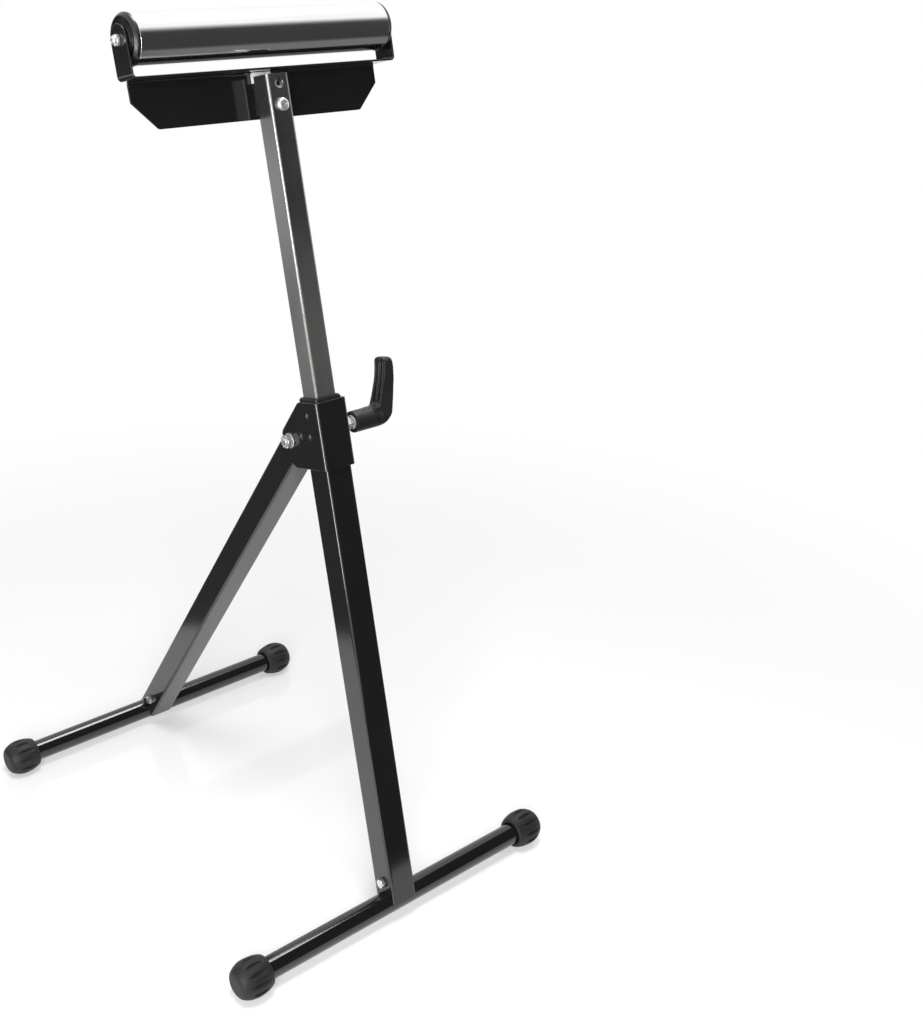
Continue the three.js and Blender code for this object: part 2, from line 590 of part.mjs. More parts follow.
for (const [back, up] of WELDS) {
  for (const side of [-1, 1]) {
    const dent = new THREE.SphereGeometry(WELD_R, SIDES / 2, SIDES / 2);
    const out = side * (gussetOut + WELD_R - WELD_DEPTH);
    gusset = gusset.subtract(solid(dent, new THREE.Matrix4().makeTranslation(out, back, up)));
  }
}
add(post, "gusset_bracket", gusset, BLACK_PAINT);

// Pivot bolt with its washers and nut: the head is at the +X side
const washerIn = gussetOut + SEAT;
const washerOut = washerIn + WASHER_T;
const pivotSeat = washerOut + SEAT;
const pivotTail = pivotSeat + PIVOT_NUT + PIVOT_END;
const pivotBolt = turned(boltX(PIVOT_R, PIVOT_AF, PIVOT_HEAD, pivotSeat, pivotTail, 0, 0));
add(post, "pivot_bolt", pivotBolt.translate([0, PIVOT_BACK, PIVOT_UP]), ZINC);
const pivotNut = nutX(PIVOT_R, PIVOT_AF, -pivotSeat - PIVOT_NUT, -pivotSeat, PIVOT_BACK, PIVOT_UP);
add(post, "pivot_nut", pivotNut, ZINC);
const washer = (from, to) => ringX(WASHER_R, PIVOT_R + THREAD, from, to, PIVOT_BACK, PIVOT_UP);
add(post, "pivot_washer_left", washer(-washerOut, -washerIn), ZINC);
add(post, "pivot_washer_right", washer(washerIn, washerOut), ZINC);

// Clamp: welded nut, stud, and a lever with a metal insert in its hub
const weldNutIn = gussetOut + SEAT;
const weldNut = rodX(CLAMP_NUT_R, weldNutIn, weldNutIn + CLAMP_NUT_LENGTH, 0, CLAMP_UP, 6);
add(post, "clamp_nut", weldNut.subtract(rodX(CLAMP_R + THREAD, -FAR, FAR, 0, CLAMP_UP)), ZINC);
add(post, "clamp_stud", rodX(CLAMP_R, MAST_W / 2 + RUN, STUD_OUT, 0, CLAMP_UP), ZINC);
const insertOut = LEVER_IN + INSERT_DEPTH;
const insert = ringX(INSERT_R, CLAMP_R + THREAD, LEVER_IN - INSERT_PROUD, insertOut, 0, CLAMP_UP);
add(post, "clamp_insert", insert, ZINC);
const hubOut = LEVER_IN + HUB_LENGTH;
const hub = turnedX([
  [LEVER_IN, 0], [LEVER_IN, HUB_R, HUB_EDGES[0]], [hubOut, HUB_R, HUB_EDGES[1]], [hubOut, 0],
], 0, CLAMP_UP, SIDES);
const fromHub = (points) => points.map(([x, up, radius]) => [x, CLAMP_UP + up, radius]);
const armSide = prismY(outline(fromHub(ARM)), -ARM_W / 2, ARM_W / 2, ARM_EDGE);
const armTop = CLAMP_UP + ARM_TIP;
const armFront = prismX(outline([
  [-ARM_W / 2, 0], [ARM_W / 2, 0], [ARM_W / 2, armTop, ARM_TIP_CORNER], [-ARM_W / 2, armTop, ARM_TIP_CORNER],
]), 0, FAR);
const arm = armSide.intersect(armFront);
let lever = hub.add(arm);
for (const middle of [-GROOVE_AT, GROOVE_AT]) {
  const groove = prismY(outline(fromHub(GROOVE)), middle - GROOVE_W / 2, middle + GROOVE_W / 2);
  lever = lever.subtract(groove);
}
lever = lever.subtract(rodX(INSERT_R + SEAT, 0, insertOut + SEAT, 0, CLAMP_UP));
lever = lever.subtract(rodX(CLAMP_R + SEAT, 0, STUD_OUT + SEAT, 0, CLAMP_UP));
add(post, "clamp_lever", lever, BLACK_PLASTIC);

// Rear leg: its top is cut to lie against the post when the leg is open, and clears the post as it folds
const stopReach = PIVOT_BACK - POST_W / 2 - STOP_GAP;
const fromPost = (back, up) => [
  back * Math.cos(fold) + up * Math.sin(fold),
  legLength - back * Math.sin(fold) + up * Math.cos(fold),
];
const shoulder = legLength + Math.sqrt((stopReach - STOP_GAP) ** 2 - (LEG_W / 2) ** 2);
const legOutline = prismX(outline([
  [-LEG_W, FOOT_LAP], [LEG_W, FOOT_LAP], [LEG_W, legLength], fromPost(LEG_W / 2, STOP_TOP),
  fromPost(-stopReach, STOP_TOP), fromPost(-stopReach, STOP_LOW), [-LEG_W / 2, shoulder], [-LEG_W, shoulder],
]), -FAR, FAR);
const legTube = footCuts(squareTube(LEG_W, LEG_WALL, LEG_CORNER, FOOT_LAP, legLength + FAR));
const legPivot = rodX(PIVOT_R + HOLE_PLAY, -FAR, FAR, 0, legLength);
add(leg, "leg_tube", legTube.intersect(legOutline).subtract(legPivot), BLACK_PAINT);
const sleeveHalf = LEG_W / 2 - LEG_WALL - SEAT;
const sleeveIn = PIVOT_R + RUN;
const pivotSleeve = ringX(sleeveIn + SLEEVE_WALL, sleeveIn, -sleeveHalf, sleeveHalf, 0, legLength);
add(leg, "pivot_sleeve", pivotSleeve, ZINC);
add(leg, "rear_foot_tab", footTab(), BLACK_PAINT);
footBolt(leg, "rear", LEG_W);

// Foot bars with a rubber foot on each end
const barHalf = FOOT_LENGTH / 2 - FOOT_END - SEAT;
const barInside = BAR_R - BAR_WALL;
const bar = turnedX([[-barHalf, barInside], [-barHalf, BAR_R], [barHalf, BAR_R], [barHalf, barInside]]);
const foot = rubberFoot();
for (const [name, y] of [["front", -FOOT_SPREAD / 2], ["rear", FOOT_SPREAD / 2]]) {
  const onFloor = [0, y, FOOT_R];
  add(stand, `${name}_foot_bar`, bar.translate(onFloor), BLACK_PAINT);
  add(stand, `${name}_foot_left`, turned(foot).translate(onFloor), RUBBER);
  add(stand, `${name}_foot_right`, foot.translate(onFloor), RUBBER);
}

export default stand;
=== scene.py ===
# %% [markdown]
# # A folding roller stand
# The stand is a leaning post with a grey mast that slides in it, a bright roller on a bent-sheet head, a
# hinged rear leg and two foot bars with rubber feet. The measured model comes in as a fixed frame, in
# metres, and this lesson builds the looks around it. Every new piece sits where the frame says and rides
# on one of its bodies.

# %% Load the frame
import json
import math

import bmesh
import bpy
from mathutils import Matrix, Vector


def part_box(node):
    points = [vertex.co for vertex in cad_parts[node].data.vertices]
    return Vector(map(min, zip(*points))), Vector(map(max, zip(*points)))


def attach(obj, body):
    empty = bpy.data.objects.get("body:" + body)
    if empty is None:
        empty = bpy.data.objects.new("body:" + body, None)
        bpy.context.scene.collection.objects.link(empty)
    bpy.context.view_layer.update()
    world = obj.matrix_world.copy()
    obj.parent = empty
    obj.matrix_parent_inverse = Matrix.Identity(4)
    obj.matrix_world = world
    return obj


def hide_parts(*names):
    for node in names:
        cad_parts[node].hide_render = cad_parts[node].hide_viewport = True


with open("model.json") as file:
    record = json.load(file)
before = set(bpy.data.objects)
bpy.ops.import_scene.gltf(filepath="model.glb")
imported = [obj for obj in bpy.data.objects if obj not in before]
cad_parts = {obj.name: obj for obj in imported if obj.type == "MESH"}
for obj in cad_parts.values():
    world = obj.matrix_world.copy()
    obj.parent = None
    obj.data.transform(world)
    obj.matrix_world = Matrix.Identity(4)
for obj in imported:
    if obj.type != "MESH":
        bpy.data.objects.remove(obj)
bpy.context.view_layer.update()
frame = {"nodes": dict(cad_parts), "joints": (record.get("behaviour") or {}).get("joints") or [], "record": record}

MM = 0.001
record = frame["record"]
joints = {joint["name"]: joint for joint in frame["joints"]}
body_of_node = {node: body for body, nodes in record["behaviour"]["bodies"].items() for node in nodes}
slot_of_node = {part["node"]: part["material_slot"] for part in record["subparts"]}

# %% [markdown]
# The post leans back and the rear leg leans forward, so pieces are easier to model upright. Each gets its
# own drawing frame: `ON_POST` stands on the front foot bar with its z axis along the post, and `ON_LEG`
# stands on the rear bar with its z axis along the leg. The lean comes from the direction in which the
# mast slides. Drawings are in millimetres, and the helpers below turn them into metres.

# %% Drawing frames
slide = Vector(joints["head_height"]["axis"])
lean = math.atan2(slide.y, slide.z)


def middle(node):
    """The middle of a node's box."""
    low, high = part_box(node)
    return (low + high) / 2


def size(node):
    """The sides of a node's box, in millimetres."""
    low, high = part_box(node)
    return (high - low) / MM


front_bar = middle("front_foot_bar")
rear_bar = middle("rear_foot_bar")
pivot = Vector(joints["leg_fold"]["pos_m"])
leg_line = pivot - rear_bar
leg_angle = math.atan2(-leg_line.y, leg_line.z)
ON_POST = Matrix.Translation(front_bar) @ Matrix.Rotation(-lean, 4, "X")
ON_LEG = Matrix.Translation(rear_bar) @ Matrix.Rotation(leg_angle, 4, "X")


def on_post(point):
    """A point of the frame as a drawing point of the post: x, back and up, in millimetres."""
    return ON_POST.inverted() @ Vector(point) / MM


roller_at = on_post(joints["roller_spin"]["pos_m"])
clamp_at = on_post(joints["clamp_turn"]["pos_m"])
pivot_at = on_post(pivot)
leg_length = leg_line.length / MM
fold = lean + leg_angle
print("lean", round(math.degrees(lean), 2), "leg", round(math.degrees(leg_angle), 2), "degrees")

# %% [markdown]
# Shaders are easier to read as formulas. `Value` wraps one output socket, and the usual operators add
# Math nodes. `Finish` holds one material: `node` adds any other node from its type, its settings and its
# sockets, and the other methods are the few recipes that all finishes share.


# %% Shader formulas
class Value:
    """One socket of a finish; sums and products of values become Math nodes."""

    def __init__(self, finish, socket):
        self.finish = finish
        self.socket = socket

    def maths(self, operation, *numbers):
        return self.finish.node("ShaderNodeMath", {"operation": operation}, dict(enumerate(numbers)))

    def __add__(self, other):
        return self.maths("ADD", self, other)

    def __sub__(self, other):
        return self.maths("SUBTRACT", self, other)

    def __rsub__(self, other):
        return self.maths("SUBTRACT", other, self)

    def __mul__(self, other):
        return self.maths("MULTIPLY", self, other)

    __radd__ = __add__
    __rmul__ = __mul__


SEEN_BY = ("Camera", "Glossy", "Transmission")


class Finish:
    """One procedural material on Object coordinates, or a world."""

    def __init__(self, name, kind="materials", shader="Principled BSDF"):
        self.material = getattr(bpy.data, kind).new(name)
        self.material.use_nodes = True
        self.tree = self.material.node_tree
        self.shader = self.tree.nodes[shader]
        self.place = self.node("ShaderNodeTexCoord", output="Object")

    def node(self, kind, settings=None, sockets=None, output=0):
        made = self.tree.nodes.new(kind)
        for name, value in (settings or {}).items():
            setattr(made, name, value)
        for name, value in (sockets or {}).items():
            self.feed(made.inputs[name], value)
        return Value(self, made.outputs[output])

    def feed(self, socket, value):
        if isinstance(value, Value):
            self.tree.links.new(value.socket, socket)
        else:
            socket.default_value = value

    def noise(self, scale, detail=3.0, stretch=(1, 1, 1), turn=(0, 0, 0)):
        """Cloudy noise from 0 to 1, its features about 1 / scale metres wide before stretching."""
        spot = self.node("ShaderNodeMapping", sockets={"Vector": self.place, "Rotation": turn})
        spot = self.node("ShaderNodeMapping", sockets={"Vector": spot, "Scale": stretch})
        sockets = {"Vector": spot, "Scale": scale, "Detail": detail}
        return self.node("ShaderNodeTexNoise", sockets=sockets)

    def between(self, factor, first, second):
        """A colour between two colours."""
        settings = {"data_type": "RGBA"}
        sockets = {0: factor, 6: (*first, 1.0), 7: (*second, 1.0)}
        return self.node("ShaderNodeMix", settings, sockets, output=2)

    def window(self, value, low, high):
        """0 below low, 1 above high, and a smooth step between them."""
        settings = {"interpolation_type": "SMOOTHSTEP"}
        sockets = {"Value": value, "From Min": low, "From Max": high}
        return self.node("ShaderNodeMapRange", settings, sockets)

    def bump(self, height, strength, distance):
        sockets = {"Height": height, "Strength": strength, "Distance": distance}
        return self.node("ShaderNodeBump", sockets=sockets)

    def surface(self, **values):
        for name, value in values.items():
            self.feed(self.shader.inputs[name.replace("_", " ")], value)
        return self.material

    def mix(self, first, second, share):
        """Show two shaders mixed, the second one by its share."""
        mixed = self.node("ShaderNodeMixShader", sockets={0: share, 1: first, 2: second})
        self.feed(self.tree.nodes["Material Output"].inputs["Surface"], mixed)
        return self.material

    def seen(self):
        """1 for rays that see this finish, straight or in a mirror, and 0 for rays that carry its light."""
        rays = [self.node("ShaderNodeLightPath", output=f"Is {kind} Ray") for kind in SEEN_BY]
        total = rays[0] + rays[1] + rays[2]
        return total.maths("MINIMUM", total, 1)


print("shader tools ready")

# %% [markdown]
# ## Finishes
# The tubes and sheet are steel with a glossy black powder coat. Powder melts into a skin with a faint
# orange peel, so the coat has a low bump of small waves, and broad noise shifts its gloss a little. A
# high refractive index gives the strong mirror that thick gloss paint shows at a glancing angle.

# %% Black gloss paint
PAINT_DARK = (0.0045, 0.0045, 0.0047)
PAINT_LIGHT = (0.0075, 0.0075, 0.0078)


def make_black_paint():
    paint = Finish("black_gloss_paint")
    peel = paint.noise(380, 2)
    cloud = paint.noise(14, 3)
    return paint.surface(
        Base_Color=paint.between(cloud, PAINT_DARK, PAINT_LIGHT),
        Roughness=cloud * 0.06 + 0.09,
        IOR=1.66,
        Normal=paint.bump(peel, 0.06, 0.0004),
    )


black_paint = make_black_paint()
print("black paint", len(black_paint.node_tree.nodes), "nodes")

# %% [markdown]
# The mast is a drawn steel tube with a dull grey plating. Drawing leaves fine lines along the tube, so
# the noise is squeezed across the tube and stretched along it. A Mapping node turns the noise to the
# Lower down, the tube turns darker and duller.

# %% Grey mast steel
MAST_DARK = (0.2, 0.197, 0.193)
MAST_LIGHT = (0.41, 0.404, 0.396)
DARKER_BELOW = (0.56, 0.74)


def make_mast_steel():
    steel = Finish("grey_mast_steel")
    lines = steel.noise(900, 2, (1, 1, 0.012), (lean, 0, 0))
    cloud = steel.noise(18, 4)
    upright = steel.node("ShaderNodeMapping", sockets={"Vector": steel.place, "Rotation": (lean, 0, 0)})
    along = steel.node("ShaderNodeSeparateXYZ", sockets={0: upright}, output="Z")
    # The lower part of the tube is made darker and duller, fading out between the two heights.
    lower_share = 1 - steel.window(along, *DARKER_BELOW)
    return steel.surface(
        Base_Color=steel.between(cloud * 0.4 + lines * 0.24 - lower_share * 0.3 + 0.2, MAST_DARK, MAST_LIGHT),
        Roughness=lines * 0.12 + cloud * 0.08 + lower_share * 0.28 + 0.20,
        Metallic=1.0,
        Normal=steel.bump(lines, 0.05, 0.0002),
    )


mast_steel = make_mast_steel()
print("mast steel", len(mast_steel.node_tree.nodes), "nodes")

# %% [markdown]
# The roller is a ground and plated steel tube. Grinding leaves very fine rings round it, so its noise
# changes along x only. The rings move the roughness a little and leave the mirror bands whole.

# %% Bright roller steel
ROLLER_GREY = (0.92, 0.922, 0.925)
ROLLER_WHITE = (0.96, 0.962, 0.965)


def make_roller_steel():
    steel = Finish("bright_roller_steel")
    rings = steel.noise(1400, 2, (1, 0.01, 0.01))
    cloud = steel.noise(25, 3)
    return steel.surface(
        Base_Color=steel.between(cloud, ROLLER_GREY, ROLLER_WHITE),
        Roughness=rings * 0.05 + cloud * 0.04 + 0.09,
        Metallic=1.0,
    )


roller_steel = make_roller_steel()
print("roller steel", len(roller_steel.node_tree.nodes), "nodes")

# %% [markdown]
# Bolts, nuts, washers and the axle are zinc-plated. Zinc is a little bluish and cloudy, and its gloss
# differs from place to place.

# %% Zinc plate
ZINC_GREY = (0.62, 0.63, 0.65)
ZINC_WHITE = (0.86, 0.87, 0.88)


def make_zinc():
    zinc = Finish("zinc_plate")
    cloud = zinc.noise(220, 4)
    return zinc.surface(
        Base_Color=zinc.between(cloud, ZINC_GREY, ZINC_WHITE),
        Roughness=cloud * 0.20 + 0.10,
        Metallic=0.86,
        Normal=zinc.bump(cloud, 0.06, 0.0003),
    )


zinc = make_zinc()
print("zinc plate", len(zinc.node_tree.nodes), "nodes")

# %% [markdown]
# The bush, the roller's ends and the lever are moulded plastic with a fine grain, and the feet are
# rubber, which is greyer and scatters more. The roller's ends come from a polished mould, so they are
# glossier. The spacer at the mast's top is the same plastic without the black.


# %% Plastic and rubber
def make_moulded(name, dark, light, sheen, roughness, grain, depth):
    """A moulded finish: two close colours, a rough sheen and a fine grain."""
    moulded = Finish(name)
    speck = moulded.noise(grain, 3)
    cloud = moulded.noise(30, 3)
    return moulded.surface(
        Base_Color=moulded.between(cloud, dark, light),
        Roughness=speck * 0.14 + roughness,
        Specular_IOR_Level=sheen,
        Normal=moulded.bump(speck, 0.25, depth),
    )


BLACK = ((0.006, 0.006, 0.0065), (0.011, 0.011, 0.0115))
WHITE = ((0.88, 0.88, 0.87), (0.93, 0.93, 0.92))
RUBBER = ((0.008, 0.008, 0.0085), (0.014, 0.014, 0.0145))
black_plastic = make_moulded("black_plastic", *BLACK, 0.45, 0.32, 1500, 0.00012)
glossy_plastic = make_moulded("glossy_black_plastic", *BLACK, 0.6, 0.18, 1500, 0.00008)
white_plastic = make_moulded("white_plastic", *WHITE, 0.5, 0.35, 1200, 0.0001)
rubber = make_moulded("black_rubber", *RUBBER, 0.35, 0.48, 1100, 0.0003)
FINISHES = {
    "black_paint": ("painted", black_paint),
    "zinc_steel": ("plated", zinc),
    "bright_steel": ("polished", roller_steel),
    "black_plastic": ("moulded", black_plastic),
    "white_plastic": ("moulded", white_plastic),
    "rubber": ("vulcanised", rubber),
}
print("finishes", sorted(FINISHES))

# %% [markdown]
# ## Modelling helpers
# A primitive is added with everything else deselected, shaped in edit mode, and finished. `pick` selects
# by a test, `apply` adds a modifier and applies it, and `stand_for` carries a finished drawing to its
# place, leaves its object at the origin, and lets it ride on the body of the node that it replaces.


# %% Selecting, placing and finishing
def begin(add, **settings):
    """Add a primitive with nothing else selected."""
    bpy.ops.object.select_all(action="DESELECT")
    add(**settings)
    return bpy.context.object


def edit():
    bpy.ops.object.mode_set(mode="EDIT")


def done():
    bpy.ops.object.mode_set(mode="OBJECT")


def hold(piece):
    """Select this piece alone."""
    bpy.ops.object.select_all(action="DESELECT")
    piece.select_set(True)
    bpy.context.view_layer.objects.active = piece


def pick(kind, test):
    """Select the parts of the edited mesh that pass a test; kind is VERT, EDGE or FACE."""
    bpy.ops.mesh.select_mode(type=kind)
    bpy.ops.mesh.select_all(action="DESELECT")
    mesh = bmesh.from_edit_mesh(bpy.context.object.data)
    parts = {"VERT": mesh.verts, "EDGE": mesh.edges, "FACE": mesh.faces}[kind]
    for part in [part for part in parts if test(part)]:
        part.select_set(True)
    mesh.select_flush_mode()
    bmesh.update_edit_mesh(bpy.context.object.data)


def apply(piece, kind, **settings):
    """Add a modifier with these settings and apply it."""
    hold(piece)
    modifier = piece.modifiers.new(kind.lower(), kind)
    for name, value in settings.items():
        setattr(modifier, name, value)
    bpy.ops.object.modifier_apply(modifier=modifier.name)


def smooth(piece, angle=35):
    """Shade smooth over every edge flatter than the angle, and let the large faces set the normals."""
    hold(piece)
    bpy.ops.object.shade_smooth_by_angle(angle=math.radians(angle))
    apply(piece, "WEIGHTED_NORMAL", keep_sharp=True)
    return piece


def bevel(piece, width, angle=35, segments=2):
    """Round every edge sharper than the angle by a width in millimetres."""
    settings = {"limit_method": "ANGLE", "angle_limit": math.radians(angle), "use_clamp_overlap": False}
    apply(piece, "BEVEL", width=width * MM, segments=segments, **settings)


def soften(piece, width, angle=35, segments=2):
    """Round the sharp edges and shade the rest smooth."""
    bevel(piece, width, angle, segments)
    return smooth(piece, angle)


def mould(piece, cell, passes):
    """Remesh a sharp model into even cells, in millimetres, and relax its edges into moulded radii."""
    apply(piece, "REMESH", mode="VOXEL", voxel_size=cell * MM)
    apply(piece, "SMOOTH", factor=0.5, iterations=passes)
    hold(piece)
    bpy.ops.object.shade_smooth()
    return piece


def combine(piece, tool, operation):
    """Join a piece with a tool or cut it by one, and throw the tool away."""
    apply(piece, "BOOLEAN", object=tool, operation=operation, solver="EXACT")
    bpy.data.objects.remove(tool)
    return piece


def move(piece, place):
    """Carry a piece by a matrix, with its new place in the mesh."""
    hold(piece)
    piece.matrix_world = place @ piece.matrix_world
    bpy.ops.object.transform_apply(location=True, rotation=True, scale=True)
    return piece


def copy_of(piece):
    """A copy with its own mesh."""
    twin = piece.copy()
    twin.data = piece.data.copy()
    bpy.context.scene.collection.objects.link(twin)
    return twin


def stand_for(piece, place, node, finish=None):
    """Put a finished drawing in its place, where it stands for a node and wears the node's finish."""
    move(piece, place)
    word, usual = FINISHES[slot_of_node[node]]
    piece.name = f"{node}_{word}"
    piece.data.name = piece.name
    piece.data.materials.clear()
    piece.data.materials.append(finish or usual)
    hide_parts(node)
    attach(piece, body_of_node[node])
    return piece


def at(x, back, up):
    """A move in a drawing, in millimetres."""
    return Matrix.Translation(Vector((x, back, up)) * MM)


TURN_ROUND = Matrix.Rotation(math.pi, 4, "Z")
print("helpers ready")

# %% [markdown]
# Outlines are drawn by extruding one vertex again and again. `rounded` turns a corner with a radius into
# an arc. An outline that is filled and extruded makes a prism, and half of a section that is spun round
# the x axis makes a turned piece. The seam is merged, and the normals are recalculated because a spin can
# turn a shape inside out.

# %% Outlines, prisms and turned pieces
ARC_STEP = math.radians(10)
MERGE = 0.002


def rounded(corners, closed=True):
    """An outline in which a corner given as (a, b, radius) becomes an arc."""
    points = []
    for index, (a, b, *radius) in enumerate(corners):
        corner = Vector((a, b))
        if not radius or (not closed and index in (0, len(corners) - 1)):
            points.append(corner)
            continue
        before = (Vector(corners[index - 1][:2]) - corner).normalized()
        after = (Vector(corners[(index + 1) % len(corners)][:2]) - corner).normalized()
        half = before.angle(after) / 2
        centre = corner + (before + after).normalized() * radius[0] / math.sin(half)
        start = corner + before * radius[0] / math.tan(half) - centre
        end = corner + after * radius[0] / math.tan(half) - centre
        sweep = math.atan2(start.cross(end), start.dot(end))
        steps = max(2, math.ceil(abs(sweep) / ARC_STEP))
        points.extend(centre + Matrix.Rotation(sweep * step / steps, 2) @ start for step in range(steps + 1))
    return [*points, points[0]] if closed else points


def in_xy(a, b):
    return Vector((a, b, 0)) * MM


def in_xz(a, b):
    return Vector((a, 0, b)) * MM


def in_yz(a, b):
    return Vector((0, a, b)) * MM


def draw(points, plane):
    """A chain of edges through the points, left selected in edit mode."""
    piece = begin(bpy.ops.mesh.primitive_plane_add, size=MM)
    edit()
    bpy.ops.mesh.select_mode(type="VERT")
    bpy.ops.mesh.merge(type="CENTER")
    spots = [plane(a, b) for a, b in points]
    bpy.ops.transform.translate(value=spots[0])
    for last, spot in zip(spots, spots[1:]):
        bpy.ops.mesh.extrude_region_move(TRANSFORM_OT_translate={"value": spot - last})
    bpy.ops.mesh.select_all(action="SELECT")
    bpy.ops.mesh.remove_doubles(threshold=MERGE * MM)
    return piece


def prism(points, plane, start, end):
    """An outline filled and extruded along the third axis, from start to end."""
    piece = draw(points, plane)
    along = plane(1, 0).cross(plane(0, 1)).normalized()
    along = Vector([abs(part) for part in along]) * MM
    bpy.ops.mesh.edge_face_add()
    bpy.ops.transform.translate(value=along * start)
    bpy.ops.mesh.extrude_region_move(TRANSFORM_OT_translate={"value": along * (end - start)})
    bpy.ops.mesh.select_all(action="SELECT")
    bpy.ops.mesh.normals_make_consistent(inside=False)
    done()
    return piece


def turn_on_x(points, steps=96):
    """A profile of (x, radius) points spun round the x axis."""
    piece = draw(points, in_xz)
    bpy.ops.mesh.spin(steps=steps, angle=2 * math.pi, center=(0, 0, 0), axis=(1, 0, 0))
    bpy.ops.mesh.select_all(action="SELECT")
    bpy.ops.mesh.remove_doubles(threshold=MERGE * MM)
    bpy.ops.mesh.normals_make_consistent(inside=False)
    done()
    return piece


def rod(radius, start, end, steps=64):
    """A plain round tool on the x axis, for cutting holes."""
    return turn_on_x([(start, 0), (start, radius), (end, radius), (end, 0)], steps)


print("drawing tools ready")

# %% [markdown]
# ## Roller
# The roller is a thin tube with rounded rims, turned with its real wall, so that its open ends are right
# too.

# %% Roller tube
ON_AXLE = ON_POST @ at(0, roller_at.y, roller_at.z)
ROLLER_R = 23.7
ROLLER_WALL = 1.6
ROLLER_RIM = 0.35
roller_half = size("roller_tube").x / 2
roller_tube = turn_on_x(rounded([
    (-roller_half, ROLLER_R - ROLLER_WALL), (-roller_half, ROLLER_R, ROLLER_RIM),
    (roller_half, ROLLER_R, ROLLER_RIM), (roller_half, ROLLER_R - ROLLER_WALL),
]), 144)
smooth(roller_tube)
stand_for(roller_tube, ON_AXLE, "roller_tube")
print("roller tube", round(2 * roller_half, 1), "mm long")

# %% [markdown]
# The black end pieces are mouldings with a thick round rim, a ring-shaped recess with six small holes,
# and a pocket for a bearing. One half section holds all of it. The left one is a copy of the right one,
# turned round.

# %% Roller end pieces
CAP_R = 23.5
CAP_RIM_GAP = 0.3
CAP_SLEEVE = (18.8, 21.8)
CAP_SLEEVE_LENGTH = 19
CAP_FLOOR = 3
CAP_BORE = 5.7
CAP_OUT = 146.0
CAP_RECESS = 143.4
CAP_HOLES = 6
CAP_HOLE_R = 1.8
CAP_HOLE_PITCH = 16.6
POCKET_R = 9.8
POCKET_FLOOR = 138.7


def make_roller_end():
    rim = roller_half + CAP_RIM_GAP
    sleeve_in = roller_half - CAP_SLEEVE_LENGTH
    floor_in = POCKET_FLOOR - CAP_FLOOR
    inner, outer = CAP_SLEEVE
    cap = turn_on_x(rounded([
        (floor_in, CAP_BORE), (POCKET_FLOOR, CAP_BORE), (POCKET_FLOOR, POCKET_R), (CAP_OUT, POCKET_R, 0.3),
        (CAP_OUT, 13.2, 0.6), (CAP_RECESS, 14.2, 0.6), (CAP_RECESS, 19.0, 0.6), (CAP_OUT, 19.8, 0.6),
        (CAP_OUT, 20.8, 0.9), (rim + 2.2, CAP_R, 3), (rim, CAP_R), (rim, outer), (sleeve_in, outer),
        (sleeve_in, inner), (floor_in, inner),
    ]))
    for index in range(CAP_HOLES):
        angle = (index + 0.5) * 2 * math.pi / CAP_HOLES
        hole = rod(CAP_HOLE_R, CAP_RECESS - 5, CAP_OUT, 24)
        move(hole, Matrix.Rotation(angle, 4, "X") @ at(0, 0, CAP_HOLE_PITCH))
        combine(cap, hole, "DIFFERENCE")
    return smooth(cap)


def stand_on_both_ends(piece, name, finish=None):
    """The right-hand piece, and a copy of it turned round for the left-hand end of the axle."""
    left = move(copy_of(piece), TURN_ROUND)
    stand_for(piece, ON_AXLE, f"{name}_right", finish)
    stand_for(left, ON_AXLE, f"{name}_left", finish)


stand_on_both_ends(make_roller_end(), "roller_end", glossy_plastic)
print("roller ends", CAP_HOLES, "holes each")

# %% [markdown]
# Bolt heads and nuts have their corners turned off at a low angle, which leaves curved edges on their
# flats. A six-sided cylinder is cut down to what it shares with a turned blank, as on a lathe.

# %% Six-sided heads and nuts
CHAMFER_ANGLE = math.radians(30)
FACE_SHARE = 0.475
BLANK_SHARE = 0.62


def hexagon(flats, start, end, chamfered=(True, True)):
    """A six-sided prism on x with its corners turned off at the chosen ends."""
    settings = {"radius": flats / math.sqrt(3) * MM, "depth": (end - start) * MM, "vertices": 6}
    settings.update(location=((start + end) / 2 * MM, 0, 0), rotation=(0, math.pi / 2, 0))
    piece = begin(bpy.ops.mesh.primitive_cylinder_add, **settings)
    move(piece, Matrix())
    top = FACE_SHARE * flats
    wide = BLANK_SHARE * flats
    run = (wide - top) * math.tan(CHAMFER_ANGLE)
    low_end = [(start, top), (start + run, wide)] if chamfered[0] else [(start, wide)]
    high_end = [(end - run, wide), (end, top)] if chamfered[1] else [(end, wide)]
    return combine(piece, turn_on_x([(start, 0), *low_end, *high_end, (end, 0)], 72), "INTERSECT")


def ring(inner, outer, start, end, edge=0.2):
    """A flat ring on x with rounded rims."""
    piece = turn_on_x(rounded([(start, inner), (end, inner), (end, outer, edge), (start, outer, edge)]))
    return smooth(piece)


print("corners turned off at", round(math.degrees(CHAMFER_ANGLE)), "degrees")

# %% [markdown]
# A bearing shows its two races with a sunk shield between them. The axle has rounded ends, thin washers
# keep the roller off the ears, and a cap nut closes each end: a six-sided nut with a dome.

# %% Bearings, axle, washers and cap nuts
BEARING = (139, 145)
INNER_RACE = (3.5, 5.0)
SHIELD = (5.2, 7.9)
SHIELD_SUNK = 0.6
OUTER_RACE = (8.1, 9.5)
AXLE_R = 3.2
AXLE_HALF = size("roller_axle").x / 2
CAP_NUT_FLATS = 9.8
CAP_NUT_IN = 150.3
CAP_NUT_FACE = 153.5
CAP_NUT_OUT = 156.9
DOME_R = 4.3
DOME_ROUND = 3.4


def make_bearing():
    start, end = BEARING
    sunk = end - SHIELD_SUNK
    bearing = turn_on_x(rounded([
        (start, INNER_RACE[0]), (end, INNER_RACE[0], 0.3), (end, INNER_RACE[1]), (sunk, SHIELD[0]),
        (sunk, SHIELD[1]), (end, OUTER_RACE[0]), (end, OUTER_RACE[1], 0.4), (start, OUTER_RACE[1], 0.4),
    ]))
    return smooth(bearing)


